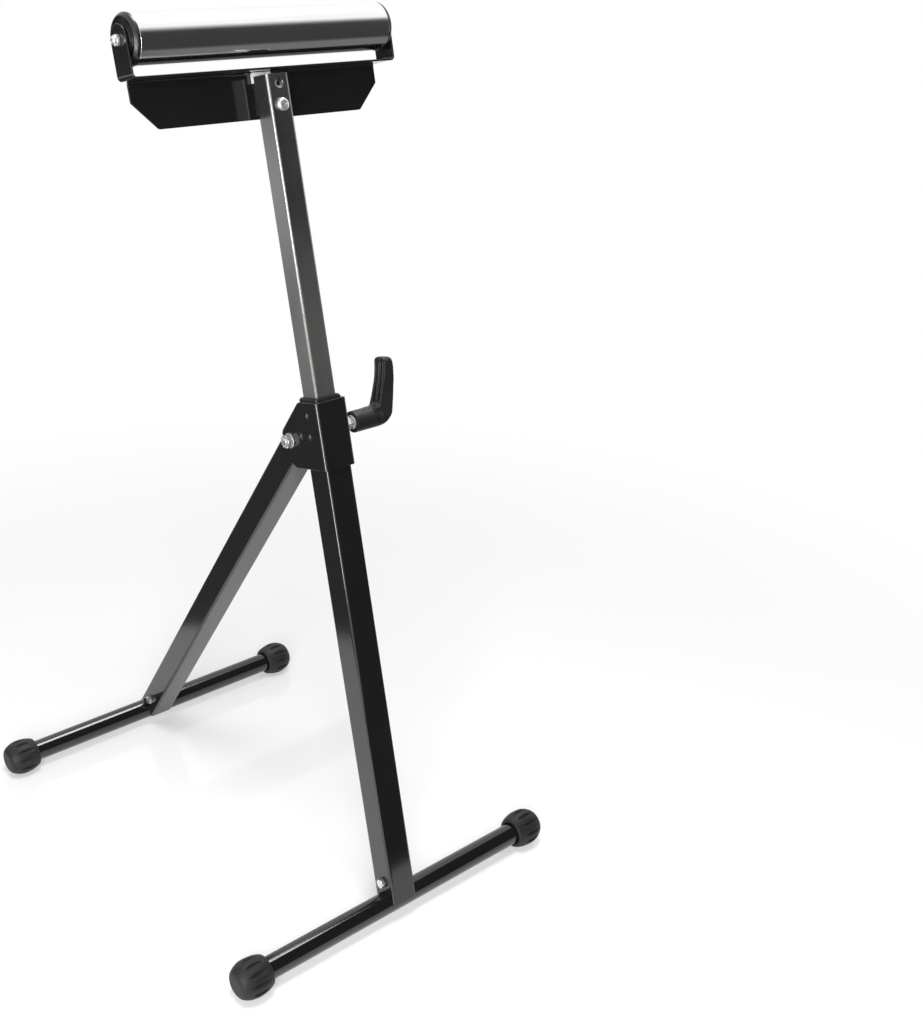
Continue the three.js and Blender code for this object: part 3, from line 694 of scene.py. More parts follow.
def make_cap_nut():
    nut = hexagon(CAP_NUT_FLATS, CAP_NUT_IN, CAP_NUT_FACE)
    root = CAP_NUT_FACE - 1.5
    dome = turn_on_x(rounded([
        (root, 0), (root, DOME_R), (CAP_NUT_OUT, DOME_R, DOME_ROUND), (CAP_NUT_OUT, 0),
    ], closed=False))
    combine(nut, dome, "UNION")
    combine(nut, rod(AXLE_R + 0.3, CAP_NUT_IN - 1, AXLE_HALF + 0.3), "DIFFERENCE")
    return soften(nut, 0.15, 25)


axle = turn_on_x(rounded([
    (-AXLE_HALF, 0), (-AXLE_HALF, AXLE_R, 0.5), (AXLE_HALF, AXLE_R, 0.5), (AXLE_HALF, 0),
], closed=False), 48)
smooth(axle)
stand_for(axle, ON_AXLE, "roller_axle")
stand_on_both_ends(make_bearing(), "roller_bearing")
stand_on_both_ends(ring(AXLE_R + 0.3, 7.5, CAP_OUT + 0.3, 147.7), "axle_washer")
stand_on_both_ends(make_cap_nut(), "axle_nut")
print("axle", round(2 * AXLE_HALF, 1), "mm long")

# %% [markdown]
# ## Head bracket
# The bracket is bent from one sheet: a flange with two round-topped ears, and a wide plate bent down
# behind it with its lower corners cut off. Each bend is drawn as an arc in the outline of a prism, and a
# second prism trims it to the shape of the blank. Between ears and plate the blank has corner reliefs, so
# that the sheet can bend.

# %% Head bracket
SHEET = 2.0
EAR_OUT = size("head_bracket").x / 2
EAR_W = 28.0
FLANGE_UP = 882.2
BEND_OUT = 4.5
BEND_IN = BEND_OUT - SHEET
PLATE_HALF = 142.0
PLATE_LOW = 838.6
PLATE_CHAMFER = (24.6, 25.0)
PLATE_CORNER = 4.0
RELIEF = 3.6
RELIEF_DEPTH = 6.0
SCREW_R = 3.0
SCREW_UP = 849.0
BOLT_PLAY = 0.4
FAR = 400.0
X_TO_Y = Matrix.Rotation(math.pi / 2, 4, "Z")
AT_SCREW = at(0, 0, SCREW_UP) @ X_TO_Y
ear_front = roller_at.y - EAR_W / 2
ear_rear = roller_at.y + EAR_W / 2
ear_top = roller_at.z + EAR_W / 2
flange_top = FLANGE_UP + SHEET


def drill(piece, radius, place, start=-FAR):
    """Cut a round hole along x, carried to its place."""
    combine(piece, move(rod(radius, start, FAR), place), "DIFFERENCE")


def make_head_bracket():
    inside = EAR_OUT - SHEET
    bracket = prism(rounded([
        (-EAR_OUT, ear_top), (-EAR_OUT, FLANGE_UP, BEND_OUT),
        (EAR_OUT, FLANGE_UP, BEND_OUT), (EAR_OUT, ear_top),
        (inside, ear_top), (inside, flange_top, BEND_IN),
        (-inside, flange_top, BEND_IN), (-inside, ear_top),
    ]), in_xz, ear_front, ear_rear)
    ear = prism(rounded([
        (ear_front, FLANGE_UP - SHEET), (ear_rear, FLANGE_UP - SHEET),
        (ear_rear, ear_top, EAR_W / 2), (ear_front, ear_top, EAR_W / 2),
    ]), in_yz, -FAR, FAR)
    combine(bracket, ear, "INTERSECT")
    relief_half = PLATE_HALF + RELIEF
    relief = prism(rounded([
        (-relief_half, ear_rear - RELIEF_DEPTH), (relief_half, ear_rear - RELIEF_DEPTH),
        (relief_half, FAR), (-relief_half, FAR),
    ]), in_xy, FLANGE_UP - SHEET, flange_top + SHEET)
    combine(bracket, relief, "DIFFERENCE")
    lap = ear_rear - 2 * RELIEF_DEPTH
    plate = prism(rounded([
        (lap, FLANGE_UP), (ear_rear - SHEET, FLANGE_UP, BEND_IN), (ear_rear - SHEET, PLATE_LOW),
        (ear_rear, PLATE_LOW), (ear_rear, flange_top, BEND_OUT), (lap, flange_top),
    ]), in_yz, -PLATE_HALF, PLATE_HALF)
    low_half = PLATE_HALF - PLATE_CHAMFER[0]
    chamfer_up = PLATE_LOW + PLATE_CHAMFER[1]
    blank = prism(rounded([
        (-FAR, FAR * 3), (-FAR, flange_top - BEND_OUT), (-PLATE_HALF - 1, flange_top - BEND_OUT),
        (-PLATE_HALF - 1, chamfer_up + 1, PLATE_CORNER), (-low_half, PLATE_LOW, PLATE_CORNER),
        (low_half, PLATE_LOW, PLATE_CORNER), (PLATE_HALF + 1, chamfer_up + 1, PLATE_CORNER),
        (PLATE_HALF + 1, flange_top - BEND_OUT), (FAR, flange_top - BEND_OUT), (FAR, FAR * 3),
    ]), in_xz, -FAR, FAR)
    combine(plate, blank, "INTERSECT")
    combine(bracket, plate, "UNION")
    drill(bracket, AXLE_R + BOLT_PLAY, at(0, roller_at.y, roller_at.z))
    drill(bracket, SCREW_R + BOLT_PLAY, AT_SCREW)
    return soften(bracket, 0.7, segments=3)


stand_for(make_head_bracket(), ON_POST, "head_bracket")
print("head bracket", round(2 * EAR_OUT, 1), "mm over the ears")

# %% [markdown]
# A white plastic spacer keeps the plate off the mast, and one pan-head screw holds all three together.
# The spacer is a T: its wide rim shows above the mast's top, and its stem hides between mast and plate.
# The screw's dome is turned, and the cross recess is two crossed prisms cut out of it.

# %% Spacer, screw and nut of the head
MAST_W = 25.0
SEAT = 0.3
SPACER_LOW = 842.0
SPACER_RIM_LOW = 872.0
SPACER_HALF = 10.0
SPACER_STEM_HALF = 5.5
SCREW_HEAD_R = 6.4
SCREW_HEAD = 4.8
SCREW_NUT_FLATS = 10
CROSS_HALF = (0.8, 3.5)
CROSS_DEPTH = 2.4
PITCH = 1.0


def thread(radius, start, end, pitch=PITCH):
    """The profile of a thread, as sharp rings one pitch apart."""
    points = []
    for index in range(round((end - start) / pitch)):
        points += [(start + index * pitch, radius), (start + (index + 0.5) * pitch, radius - 0.5 * pitch)]
    return [*points, (end, radius)]


def make_spacer():
    front = MAST_W / 2 + SEAT
    rear = ear_rear - SHEET - SEAT
    top = FLANGE_UP - SEAT
    spacer = prism(rounded([
        (front, SPACER_RIM_LOW), (rear, SPACER_RIM_LOW), (rear, top, BEND_IN + SEAT), (front, top),
    ]), in_yz, -SPACER_HALF, SPACER_HALF)
    stem = prism(rounded([
        (front, SPACER_LOW), (rear, SPACER_LOW), (rear, SPACER_RIM_LOW + 1), (front, SPACER_RIM_LOW + 1),
    ]), in_yz, -SPACER_STEM_HALF, SPACER_STEM_HALF)
    combine(spacer, stem, "UNION")
    drill(spacer, SCREW_R + BOLT_PLAY, AT_SCREW)
    return soften(spacer, 0.4)


def make_head_screw():
    seat = -MAST_W / 2 - SEAT
    top = seat - SCREW_HEAD
    tail = ear_rear + SEAT + SCREW_HEAD + 2
    screw = turn_on_x(rounded([
        (top, 0), (top, SCREW_HEAD_R, 3.6), (seat, SCREW_HEAD_R, 0.5), (seat, SCREW_R),
        *thread(SCREW_R, seat + 20, tail - 0.3), (tail, SCREW_R - 0.5), (tail, 0),
    ], closed=False), 64)
    for across, up in (CROSS_HALF, CROSS_HALF[::-1]):
        corners = [(-across, -up), (across, -up), (across, up), (-across, up)]
        combine(screw, prism(rounded(corners), in_yz, top - 1, top + CROSS_DEPTH), "DIFFERENCE")
    return soften(screw, 0.12, 40)


def hex_nut(radius, flats, start, end):
    """A nut with a countersunk bore."""
    nut = hexagon(flats, start, end)
    wide = radius + 0.8 + 1
    bore = turn_on_x([
        (start - 1, 0), (start - 1, wide), (start + 0.8, radius),
        (end - 0.8, radius), (end + 1, wide), (end + 1, 0),
    ], 48)
    combine(nut, bore, "DIFFERENCE")
    return soften(nut, 0.12, 25)


ON_SCREW = ON_POST @ at(0, 0, SCREW_UP) @ X_TO_Y
stand_for(make_spacer(), ON_POST, "head_spacer")
stand_for(make_head_screw(), ON_SCREW, "head_screw")
nut_seat = ear_rear + SEAT
head_nut = hex_nut(SCREW_R + SEAT, SCREW_NUT_FLATS, nut_seat, nut_seat + SCREW_HEAD)
stand_for(head_nut, ON_SCREW, "head_nut")
print("head screw at", SCREW_UP, "mm along the post")

# %% [markdown]
# ## Square tubes
# Post, mast and leg are square tubes. Each starts as a cube, its upright edges are bevelled into the
# corners of the tube, its end faces are deleted, and Solidify gives the wall. Holes and the saddle over
# the foot bar are cut after that, and a last small bevel rounds the sawn ends as paint does.

# %% Square tubes
CORNER_STEPS = 6


def is_upright(edge):
    line = edge.verts[0].co - edge.verts[1].co
    return abs(line.z) > 0.9 * line.length


def square_bar(width, corner, low, high):
    """An upright square bar with rounded corners."""
    settings = {"size": 1, "scale": (width * MM, width * MM, (high - low) * MM)}
    piece = begin(bpy.ops.mesh.primitive_cube_add, location=(0, 0, (low + high) / 2 * MM), **settings)
    move(piece, Matrix())
    edit()
    pick("EDGE", is_upright)
    bpy.ops.mesh.bevel(offset=corner * MM, segments=CORNER_STEPS, affect="EDGES")
    done()
    return piece


def square_tube(width, wall, corner, low, high):
    """A square tube with open ends."""
    piece = square_bar(width, corner, low, high)
    edit()
    pick("FACE", lambda face: abs(face.normal.z) > 0.9)
    bpy.ops.mesh.delete(type="FACE")
    done()
    apply(piece, "SOLIDIFY", thickness=wall * MM, offset=-1, use_even_offset=True)
    return piece


BAR_R = 12.5
FOOT_LAP = 1.0
FOOT_BOLT_R = 3.0
FOOT_BOLT_UP = 25.0


def cut_foot(leg):
    """The saddle over the foot bar and the cross hole for the foot's bolt."""
    combine(leg, rod(BAR_R + SEAT, -FAR, FAR, 96), "DIFFERENCE")
    drill(leg, FOOT_BOLT_R + BOLT_PLAY, at(0, 0, FOOT_BOLT_UP))


print("foot bolts", FOOT_BOLT_UP, "mm above the bars")

# %% [markdown]
# The post has a wide hole on one side for the clamp's stud. The mast has the screw's hole and, above it,
# a small hole whose rim was pressed in by the punch, so its tool is a turned cone with a stem.

# %% Post and mast
POST_W = size("post_tube").x
POST_WALL = 1.6
POST_CORNER = 3.0
POST_TOP = 561.0
CLAMP_PASS_R = 6.0
AT_CLAMP = at(0, 0, clamp_at.z)
SAWN_EDGE = 0.35
MAST_TOP = 877.6
MAST_LENGTH = 560.0
MAST_WALL = 1.5
MAST_CORNER = 3.4
HOLE_R = 2.3
HOLE_UP = 868.6
DISH_R = 4.6
DISH_DEPTH = 0.8
mast_front = -MAST_W / 2

post = square_tube(POST_W, POST_WALL, POST_CORNER, FOOT_LAP, POST_TOP)
cut_foot(post)
drill(post, CLAMP_PASS_R, AT_CLAMP, 0)
soften(post, SAWN_EDGE)
stand_for(post, ON_POST, "post_tube")

mast = square_tube(MAST_W, MAST_WALL, MAST_CORNER, MAST_TOP - MAST_LENGTH, MAST_TOP)
drill(mast, SCREW_R + BOLT_PLAY, AT_SCREW)
dish = turn_on_x([
    (-FAR, 0), (-FAR, DISH_R), (mast_front, DISH_R), (mast_front + DISH_DEPTH, HOLE_R), (0, HOLE_R), (0, 0),
], 48)
combine(mast, move(dish, at(0, 0, HOLE_UP) @ X_TO_Y), "DIFFERENCE")
soften(mast, SAWN_EDGE)
stand_for(mast, ON_POST, "mast_tube", mast_steel)
print("post", POST_W, "mm and mast", MAST_W, "mm square")

# %% [markdown]
# The leg's top is cut so that it lies against the post when the leg is open and clears the post as it
# folds. The cut is an outline seen from the side, worked out from the fold angle, that trims the tube.

# %% Rear leg
LEG_W = size("leg_tube").x
LEG_WALL = 1.6
LEG_CORNER = 3.0
SLEEVE_R = 6.3
STOP_GAP = 0.4
STOP_TOP = 24.0
STOP_LOW = 2.5
PIVOT_R = 4.0
stop_reach = pivot_at.y - POST_W / 2 - STOP_GAP


def from_post(back, up):
    """A point given from the pivot in the directions of the post, as a drawing point of the leg."""
    across = back * math.cos(fold) + up * math.sin(fold)
    return across, leg_length - back * math.sin(fold) + up * math.cos(fold)


def make_leg():
    leg = square_tube(LEG_W, LEG_WALL, LEG_CORNER, FOOT_LAP, leg_length + 60)
    cut_foot(leg)
    shoulder = leg_length + math.sqrt((stop_reach - STOP_GAP) ** 2 - (LEG_W / 2) ** 2)
    side = prism(rounded([
        (-LEG_W, -FAR), (LEG_W, -FAR), (LEG_W, leg_length), from_post(LEG_W / 2, STOP_TOP),
        from_post(-stop_reach, STOP_TOP), from_post(-stop_reach, STOP_LOW),
        (-LEG_W / 2, shoulder), (-LEG_W, shoulder),
    ]), in_yz, -FAR, FAR)
    combine(leg, side, "INTERSECT")
    drill(leg, PIVOT_R + BOLT_PLAY, at(0, 0, leg_length))
    return soften(leg, SAWN_EDGE)


stand_for(make_leg(), ON_LEG, "leg_tube")
sleeve_half = LEG_W / 2 - LEG_WALL - SEAT
sleeve = ring(PIVOT_R + SEAT, SLEEVE_R, -sleeve_half, sleeve_half)
stand_for(sleeve, ON_LEG @ at(0, 0, leg_length), "pivot_sleeve")
print("leg", round(leg_length, 1), "mm from bar to pivot")

# %% [markdown]
# The bush in the post's mouth is a plastic collar with a stepped lip. It is three square bars joined,
# with the mast's hole through them.

# %% Guide bush
RUN = 0.3
BUSH_LIP = 5.0
BUSH_BRIM = 1.2
BUSH_SLEEVE = 42.0


def make_guide_bush():
    low = POST_TOP + SEAT
    top = low + BUSH_LIP
    bush = square_bar(POST_W, POST_CORNER, low, top - BUSH_BRIM)
    combine(bush, square_bar(POST_W - 1.6, MAST_CORNER, top - BUSH_BRIM - 1, top), "UNION")
    sleeve_w = POST_W - 2 * POST_WALL - 2 * SEAT
    combine(bush, square_bar(sleeve_w, MAST_CORNER, POST_TOP - BUSH_SLEEVE, low + 1), "UNION")
    combine(bush, square_bar(MAST_W + 2 * RUN, MAST_CORNER, 0, 1000), "DIFFERENCE")
    drill(bush, CLAMP_PASS_R, AT_CLAMP, 0)
    return soften(bush, 0.35)


stand_for(make_guide_bush(), ON_POST, "guide_bush")
print("bush lip", BUSH_LIP, "mm")

# %% [markdown]
# ## Gusset
# The gusset is a U of thick sheet round the front of the post, and its side plates carry the leg. The U
# is an outline seen from above, the plates are trimmed by an outline seen from the side, and round tools
# press in the small dents that spot welding leaves.

# %% Gusset
GUSSET_T = 2.8
GUSSET_LOW = 492.5
GUSSET_TOP = 562.5
GUSSET_REAR = 13.0
GUSSET_BEND = 3.4
GUSSET_MARGIN = 0.3
GUSSET_TOE = [(33, 0, 4), (41, 5, 6)]
GUSSET_HEEL = 23.5
WELDS = [(0, 549), (0, 527.4), (15.6, 527.4)]
WELD_R = 3.2
WELD_DEPTH = 2.0
gusset_in = POST_W / 2 + SEAT
gusset_out = gusset_in + GUSSET_T


def make_gusset():
    rear = pivot_at.y + GUSSET_REAR
    inner_bend = GUSSET_BEND - GUSSET_T
    gusset = prism(rounded([
        (-gusset_out, rear), (-gusset_out, -gusset_out, GUSSET_BEND), (gusset_out, -gusset_out, GUSSET_BEND),
        (gusset_out, rear), (gusset_in, rear), (gusset_in, -gusset_in, inner_bend),
        (-gusset_in, -gusset_in, inner_bend), (-gusset_in, rear),
    ]), in_xy, GUSSET_LOW, GUSSET_TOP)
    slant = LEG_W / 2 + GUSSET_MARGIN
    slant_up = pivot_at.z + (slant - GUSSET_REAR * math.cos(fold)) / math.sin(fold)
    slant_back = pivot_at.y + (slant - (GUSSET_TOP - pivot_at.z) * math.sin(fold)) / math.cos(fold)
    side = prism(rounded([
        (-FAR, GUSSET_LOW), *((back, GUSSET_LOW + up, radius) for back, up, radius in GUSSET_TOE),
        (rear, GUSSET_LOW + GUSSET_HEEL, 10), (rear, slant_up, 9),
        (slant_back, GUSSET_TOP, 8), (-FAR, GUSSET_TOP),
    ]), in_yz, -FAR, FAR)
    combine(gusset, side, "INTERSECT")
    drill(gusset, PIVOT_R + BOLT_PLAY, at(0, pivot_at.y, pivot_at.z))
    drill(gusset, CLAMP_PASS_R, AT_CLAMP, 0)
    for back, up in WELDS:
        for side in (-1, 1):
            spot = Vector((side * (gusset_out + WELD_R - WELD_DEPTH), back, up)) * MM
            ball = begin(bpy.ops.mesh.primitive_uv_sphere_add, radius=WELD_R * MM, location=spot)
            combine(gusset, ball, "DIFFERENCE")
    return soften(gusset, 0.8, segments=3)


stand_for(make_gusset(), ON_POST, "gusset_bracket")
print("gusset", len(WELDS), "weld dents a side")

# %% [markdown]
# ## Bolts
# A bolt is a six-sided head joined to a turned shank, with thread rings where the shank leaves the nut.


# %% Bolts, nuts and washers
def hex_bolt(radius, flats, head, seat, tail, thread_length):
    """A bolt on x with its head at the low end."""
    bolt = hexagon(flats, -seat - head, -seat, (True, False))
    shank = turn_on_x([
        (-seat - head / 2, 0), (-seat - head / 2, radius), *thread(radius, tail - thread_length, tail - 0.4),
        (tail, radius - 0.5), (tail, 0),
    ], 48)
    combine(bolt, shank, "UNION")
    return soften(bolt, 0.12, 40)


FOOT_BOLT_FLATS = 10.0
FOOT_BOLT_HEAD = 4.2
for name, width, place in [("front", POST_W, ON_POST), ("rear", LEG_W, ON_LEG)]:
    seat = width / 2 + SEAT
    nut_end = seat + FOOT_BOLT_HEAD
    here = place @ at(0, 0, FOOT_BOLT_UP)
    bolt = hex_bolt(FOOT_BOLT_R, FOOT_BOLT_FLATS, FOOT_BOLT_HEAD, seat, nut_end + 2.5, 8)
    stand_for(bolt, here, f"{name}_foot_bolt")
    stand_for(hex_nut(FOOT_BOLT_R + SEAT, FOOT_BOLT_FLATS, seat, nut_end), here, f"{name}_foot_nut")

PIVOT_FLATS = 13.0
PIVOT_HEAD = 5.3
PIVOT_NUT = 5.5
WASHER_R = 8.0
WASHER_T = 1.2
ON_PIVOT = ON_POST @ at(0, pivot_at.y, pivot_at.z)
washer_in = gusset_out + SEAT
washer_out = washer_in + WASHER_T
pivot_seat = washer_out + SEAT
pivot_bolt = hex_bolt(PIVOT_R, PIVOT_FLATS, PIVOT_HEAD, pivot_seat, pivot_seat + PIVOT_NUT + 1, 9)
stand_for(move(pivot_bolt, TURN_ROUND), ON_PIVOT, "pivot_bolt")
stand_for(hex_nut(PIVOT_R + SEAT, PIVOT_FLATS, -pivot_seat - PIVOT_NUT, -pivot_seat), ON_PIVOT, "pivot_nut")
stand_for(ring(PIVOT_R + SEAT, WASHER_R, -washer_out, -washer_in), ON_PIVOT, "pivot_washer_left")
stand_for(ring(PIVOT_R + SEAT, WASHER_R, washer_in, washer_out), ON_PIVOT, "pivot_washer_right")
print("bolts", FOOT_BOLT_FLATS, "and", PIVOT_FLATS, "mm across the flats")

# %% [markdown]
# ## Clamp
# The clamp is a threaded stud that presses on the mast through a nut welded to the gusset. The stud sits
# in a metal insert, and a plastic lever is moulded round that.

# %% Clamp nut, stud and insert
CLAMP_R = 4.0
CLAMP_NUT_R = 8.5
CLAMP_NUT = 10.0
LEVER_IN = 34.5
INSERT_R = 7.4
INSERT_DEPTH = 11.0
INSERT_PROUD = 0.6
STUD_OUT = 59.0
STUD_PITCH = 1.25
ON_CLAMP = ON_POST @ AT_CLAMP

nut_in = gusset_out + SEAT
weld_nut = hex_nut(CLAMP_R + SEAT, CLAMP_NUT_R * math.sqrt(3), nut_in, nut_in + CLAMP_NUT)
stand_for(weld_nut, ON_CLAMP, "clamp_nut")
stud_in = MAST_W / 2 + RUN
stud = turn_on_x([
    (stud_in, 0), (stud_in, CLAMP_R - 0.8), (stud_in + 0.8, CLAMP_R),
    *thread(CLAMP_R, stud_in + 2, STUD_OUT - 1, STUD_PITCH), (STUD_OUT, CLAMP_R - 1), (STUD_OUT, 0),
], 48)
smooth(stud, 25)
stand_for(stud, ON_CLAMP, "clamp_stud")
insert_out = LEVER_IN + INSERT_DEPTH
insert = ring(CLAMP_R + SEAT, INSERT_R, LEVER_IN - INSERT_PROUD, insert_out, 0.5)
stand_for(insert, ON_CLAMP, "clamp_insert")
print("stud", round(STUD_OUT - stud_in, 1), "mm long")

# %% [markdown]
# The lever's hub is turned, and its arm is an outline seen from the front, trimmed by an outline seen
# from the side, with two long grooves in its inner face. A moulding has no sharp edge anywhere, so the
# whole lever is remeshed into small cells and relaxed, which also fillets arm and hub.

# %% Clamp lever
HUB_R = 11.4
HUB_LENGTH = 33.0
ARM_TIP = 59.2
ARM_SIDE = [
    (58, -11.2), (71, -11.2, 12), (81, 0.5, 16), (86.2, 18, 30), (90.4, 36, 40), (91.8, 50, 30),
    (90.6, 58.4, 4.5), (80.8, ARM_TIP, 2), (80.6, 51, 14), (78, 38, 40), (70.9, 20, 30),
    (66.8, 10.2, 3), (58, 10.2),
]
ARM_FRONT = [
    (-11.2, -11.2, 10.5), (11.2, -11.2, 10.5), (9, 24, 40), (9, ARM_TIP, 6.5),
    (-9, ARM_TIP, 6.5), (-9, 24, 40),
]
GROOVE = [
    (60, 11.5), (72.4, 13.5, 2), (80.6, 37.2, 40), (83.6, 50.5, 12),
    (82.8, 55.5, 1.5), (72, 55.5), (72, 40), (62, 20),
]
GROOVE_W = 4.0
GROOVE_AT = 3.7
LEVER_CELL = 0.45
LEVER_PASSES = 8


def make_lever():
    arm = prism(rounded(ARM_SIDE), in_xz, -HUB_R - 1, HUB_R + 1)
    combine(arm, prism(rounded(ARM_FRONT), in_yz, 0, FAR), "INTERSECT")
    for side in (-GROOVE_AT, GROOVE_AT):
        groove = prism(rounded(GROOVE), in_xz, side - GROOVE_W / 2, side + GROOVE_W / 2)
        combine(arm, groove, "DIFFERENCE")
    hub_out = LEVER_IN + HUB_LENGTH
    lever = turn_on_x(rounded([
        (LEVER_IN, 0), (LEVER_IN, HUB_R, 1), (hub_out, HUB_R, 1), (hub_out, 0),
    ], closed=False))
    combine(lever, arm, "UNION")
    combine(lever, rod(INSERT_R + SEAT, 0, insert_out + SEAT), "DIFFERENCE")
    combine(lever, rod(CLAMP_R + SEAT, 0, STUD_OUT + SEAT), "DIFFERENCE")
    return mould(lever, LEVER_CELL, LEVER_PASSES)


stand_for(make_lever(), ON_CLAMP, "clamp_lever")
print("lever", ARM_TIP, "mm high")

# %% [markdown]
# ## Feet
# The foot bars are round tubes, turned once and copied.

# %% Foot bars
BAR_WALL = 1.5
bar_half = size("front_foot_bar").x / 2


def make_bar():
    bar = turn_on_x(rounded([
        (-bar_half, BAR_R - BAR_WALL), (-bar_half, BAR_R, 0.3),
        (bar_half, BAR_R, 0.3), (bar_half, BAR_R - BAR_WALL),
    ]))
    return smooth(bar)


bar = make_bar()
stand_for(copy_of(bar), Matrix.Translation(rear_bar), "rear_foot_bar")
stand_for(bar, Matrix.Translation(front_bar), "front_foot_bar")
print("foot bars", round(2 * bar_half, 1), "mm long")

# %% [markdown]
# Each rubber foot is a barrel pushed over the end of its bar. The barrel is turned from a half section of
# two half ellipses with a soft end, lens-shaped slots along it are cut by stretched spheres, and a remesh
# softens everything as rubber is.

# %% Rubber feet
FOOT_R = size("front_foot_left").z / 2
FOOT_DEPTH = size("front_foot_left").x
FOOT_PAST_BAR = 6.8
FOOT_OUT = size("front_foot_bar").x / 2 + FOOT_PAST_BAR
FOOT_END = 6.5
BARREL_IN = 0.83
BARREL_OUT = 0.64
BARREL_STEPS = 30
SLOTS = 12
SLOT_SIZE = (15.0, 2.4, 2.8)
SLOT_SUNK = 0.2
FOOT_CELL = 0.55
FOOT_PASSES = 10


def make_foot():
    mouth = FOOT_OUT - FOOT_DEPTH
    bore = BAR_R + SEAT
    barrel = []
    for step in range(1, BARREL_STEPS - 1):
        along = step / BARREL_STEPS
        half_axis = BARREL_IN if along < 0.5 else BARREL_OUT
        barrel.append((mouth + FOOT_DEPTH * along, FOOT_R * math.sqrt(1 - ((along - 0.5) / half_axis) ** 2)))
    bottom = FOOT_OUT - FOOT_END
    foot = turn_on_x([
        (bottom, 0), (bottom, bore), (mouth + 1.4, bore), (mouth, bore + 1.2), (mouth, barrel[0][1] - 1.6),
        (mouth + 0.5, barrel[0][1] - 0.5), *barrel, (FOOT_OUT - 1.1, 13.4), (FOOT_OUT - 0.4, 11.4),
        (FOOT_OUT, 8), (FOOT_OUT, 0),
    ], 120)
    for index in range(SLOTS):
        lens = begin(bpy.ops.mesh.primitive_uv_sphere_add, segments=24, ring_count=16, radius=1)
        stretch = Matrix.Diagonal((*(side * MM for side in SLOT_SIZE), 1))
        turn = Matrix.Rotation((index + 0.5) * 2 * math.pi / SLOTS, 4, "X")
        move(lens, turn @ at(mouth + FOOT_DEPTH / 2, 0, FOOT_R - SLOT_SUNK) @ stretch)
        combine(foot, lens, "DIFFERENCE")
    return mould(foot, FOOT_CELL, FOOT_PASSES)


foot = make_foot()
for name, place in [("front", front_bar), ("rear", rear_bar)]:
    stand_for(copy_of(foot), Matrix.Translation(place), f"{name}_foot_right")
    stand_for(move(copy_of(foot), TURN_ROUND), Matrix.Translation(place), f"{name}_foot_left")
bpy.data.objects.remove(foot)
print("feet", round(FOOT_DEPTH, 1), "mm deep,", SLOTS, "slots each")

# %% [markdown]
# ## Hidden pieces
# The tabs in the legs' feet and the plug at the mast's lower end have their true shape in the frame
# already. A copy is merged, its flat triangles are joined, and its edges are rounded.


# %% Softened copies
def softened(node, width):
    """A copy of a node with rounded edges, standing for the node."""
    piece = copy_of(frame["nodes"][node])
    piece.parent = None
    for key in list(piece.keys()):
        if key.startswith("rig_"):
            del piece[key]
    hold(piece)
    edit()
    bpy.ops.mesh.select_all(action="SELECT")
    bpy.ops.mesh.remove_doubles(threshold=MERGE * MM)
    bpy.ops.mesh.dissolve_limited(angle_limit=math.radians(0.5))
    done()
    soften(piece, width)
    stand_for(piece, Matrix(), node)


for node in ("mast_plug", "front_foot_tab", "rear_foot_tab"):
    softened(node, 0.3)

# %% [markdown]
# ## Floor, light and camera
# A product like this is photographed on a white sheet under a soft light. The floor is white with a faint
# gloss, so the feet mirror in it, and further away it glows plain white so that no horizon shows.

# %% Floor
FLOOR_SIZE = 60
FLOOR_NEAR = 0.45
FLOOR_FAR = 1.4
FLOOR_GLOW = 0.3


def make_floor_white():
    white = Finish("white_floor")
    white.surface(Base_Color=(0.92, 0.92, 0.92, 1), Roughness=0.10, IOR=1.55)
    glow = white.node("ShaderNodeEmission", sockets={"Color": (1, 1, 1, 1), "Strength": 1.0})
    distance = white.node("ShaderNodeVectorMath", {"operation": "LENGTH"}, {0: white.place}, output="Value")
    far = white.window(distance, FLOOR_NEAR, FLOOR_FAR)
    share = far * (1 - FLOOR_GLOW) + FLOOR_GLOW
    lit = Value(white, white.shader.outputs[0])
    return white.mix(lit, glow, white.seen() * share)


floor = begin(bpy.ops.mesh.primitive_plane_add, size=FLOOR_SIZE)
floor.name = "floor"
floor.data.materials.append(make_floor_white())
print("floor", FLOOR_SIZE, "m square")

# %% [markdown]
# Glossy paint and chrome only look right when they mirror the right things. A photographer stands dark
# cards and bright soft boxes around such a product, out of the picture. These are seen by mirror rays
# only and from one side only, so they cast no shadow and no light. A fade lets one end of a card run out
# softly. The two small flags over the foot bars keep a dark band beside the bars' bright line, and the
# boxes draw the light lines along the edges.


# %% Cards around the stand
def make_card_shade(name, level, fade):
    """An even shade on the front of a card, which fades out along a direction between two distances."""
    card = Finish(name)
    shade = card.node("ShaderNodeEmission", sockets={"Color": (1, 1, 1, 1), "Strength": level})
    clear = card.node("ShaderNodeBsdfTransparent")
    hidden = card.node("ShaderNodeNewGeometry", output="Backfacing")
    if fade:
        direction, start, end = fade
        sockets = {0: card.place, 1: direction}
        along = card.node("ShaderNodeVectorMath", {"operation": "DOT_PRODUCT"}, sockets, "Value")
        hidden = hidden.maths("MAXIMUM", hidden, card.window(along, start, end))
    return card.mix(shade, clear, hidden)


def stand_card(name, level, corners, fade=None):
    """A card through four corners, in metres, that only mirror rays see, from its front."""
    card = begin(bpy.ops.mesh.primitive_plane_add, size=1)
    for vertex, corner in zip((0, 1, 3, 2), corners):
        card.data.vertices[vertex].co = corner
    card.name = name
    card.data.materials.append(make_card_shade(f"{name}_shade", level, fade))
    card.visible_camera = False
    card.visible_diffuse = False
    card.visible_transmission = False
    card.visible_shadow = False


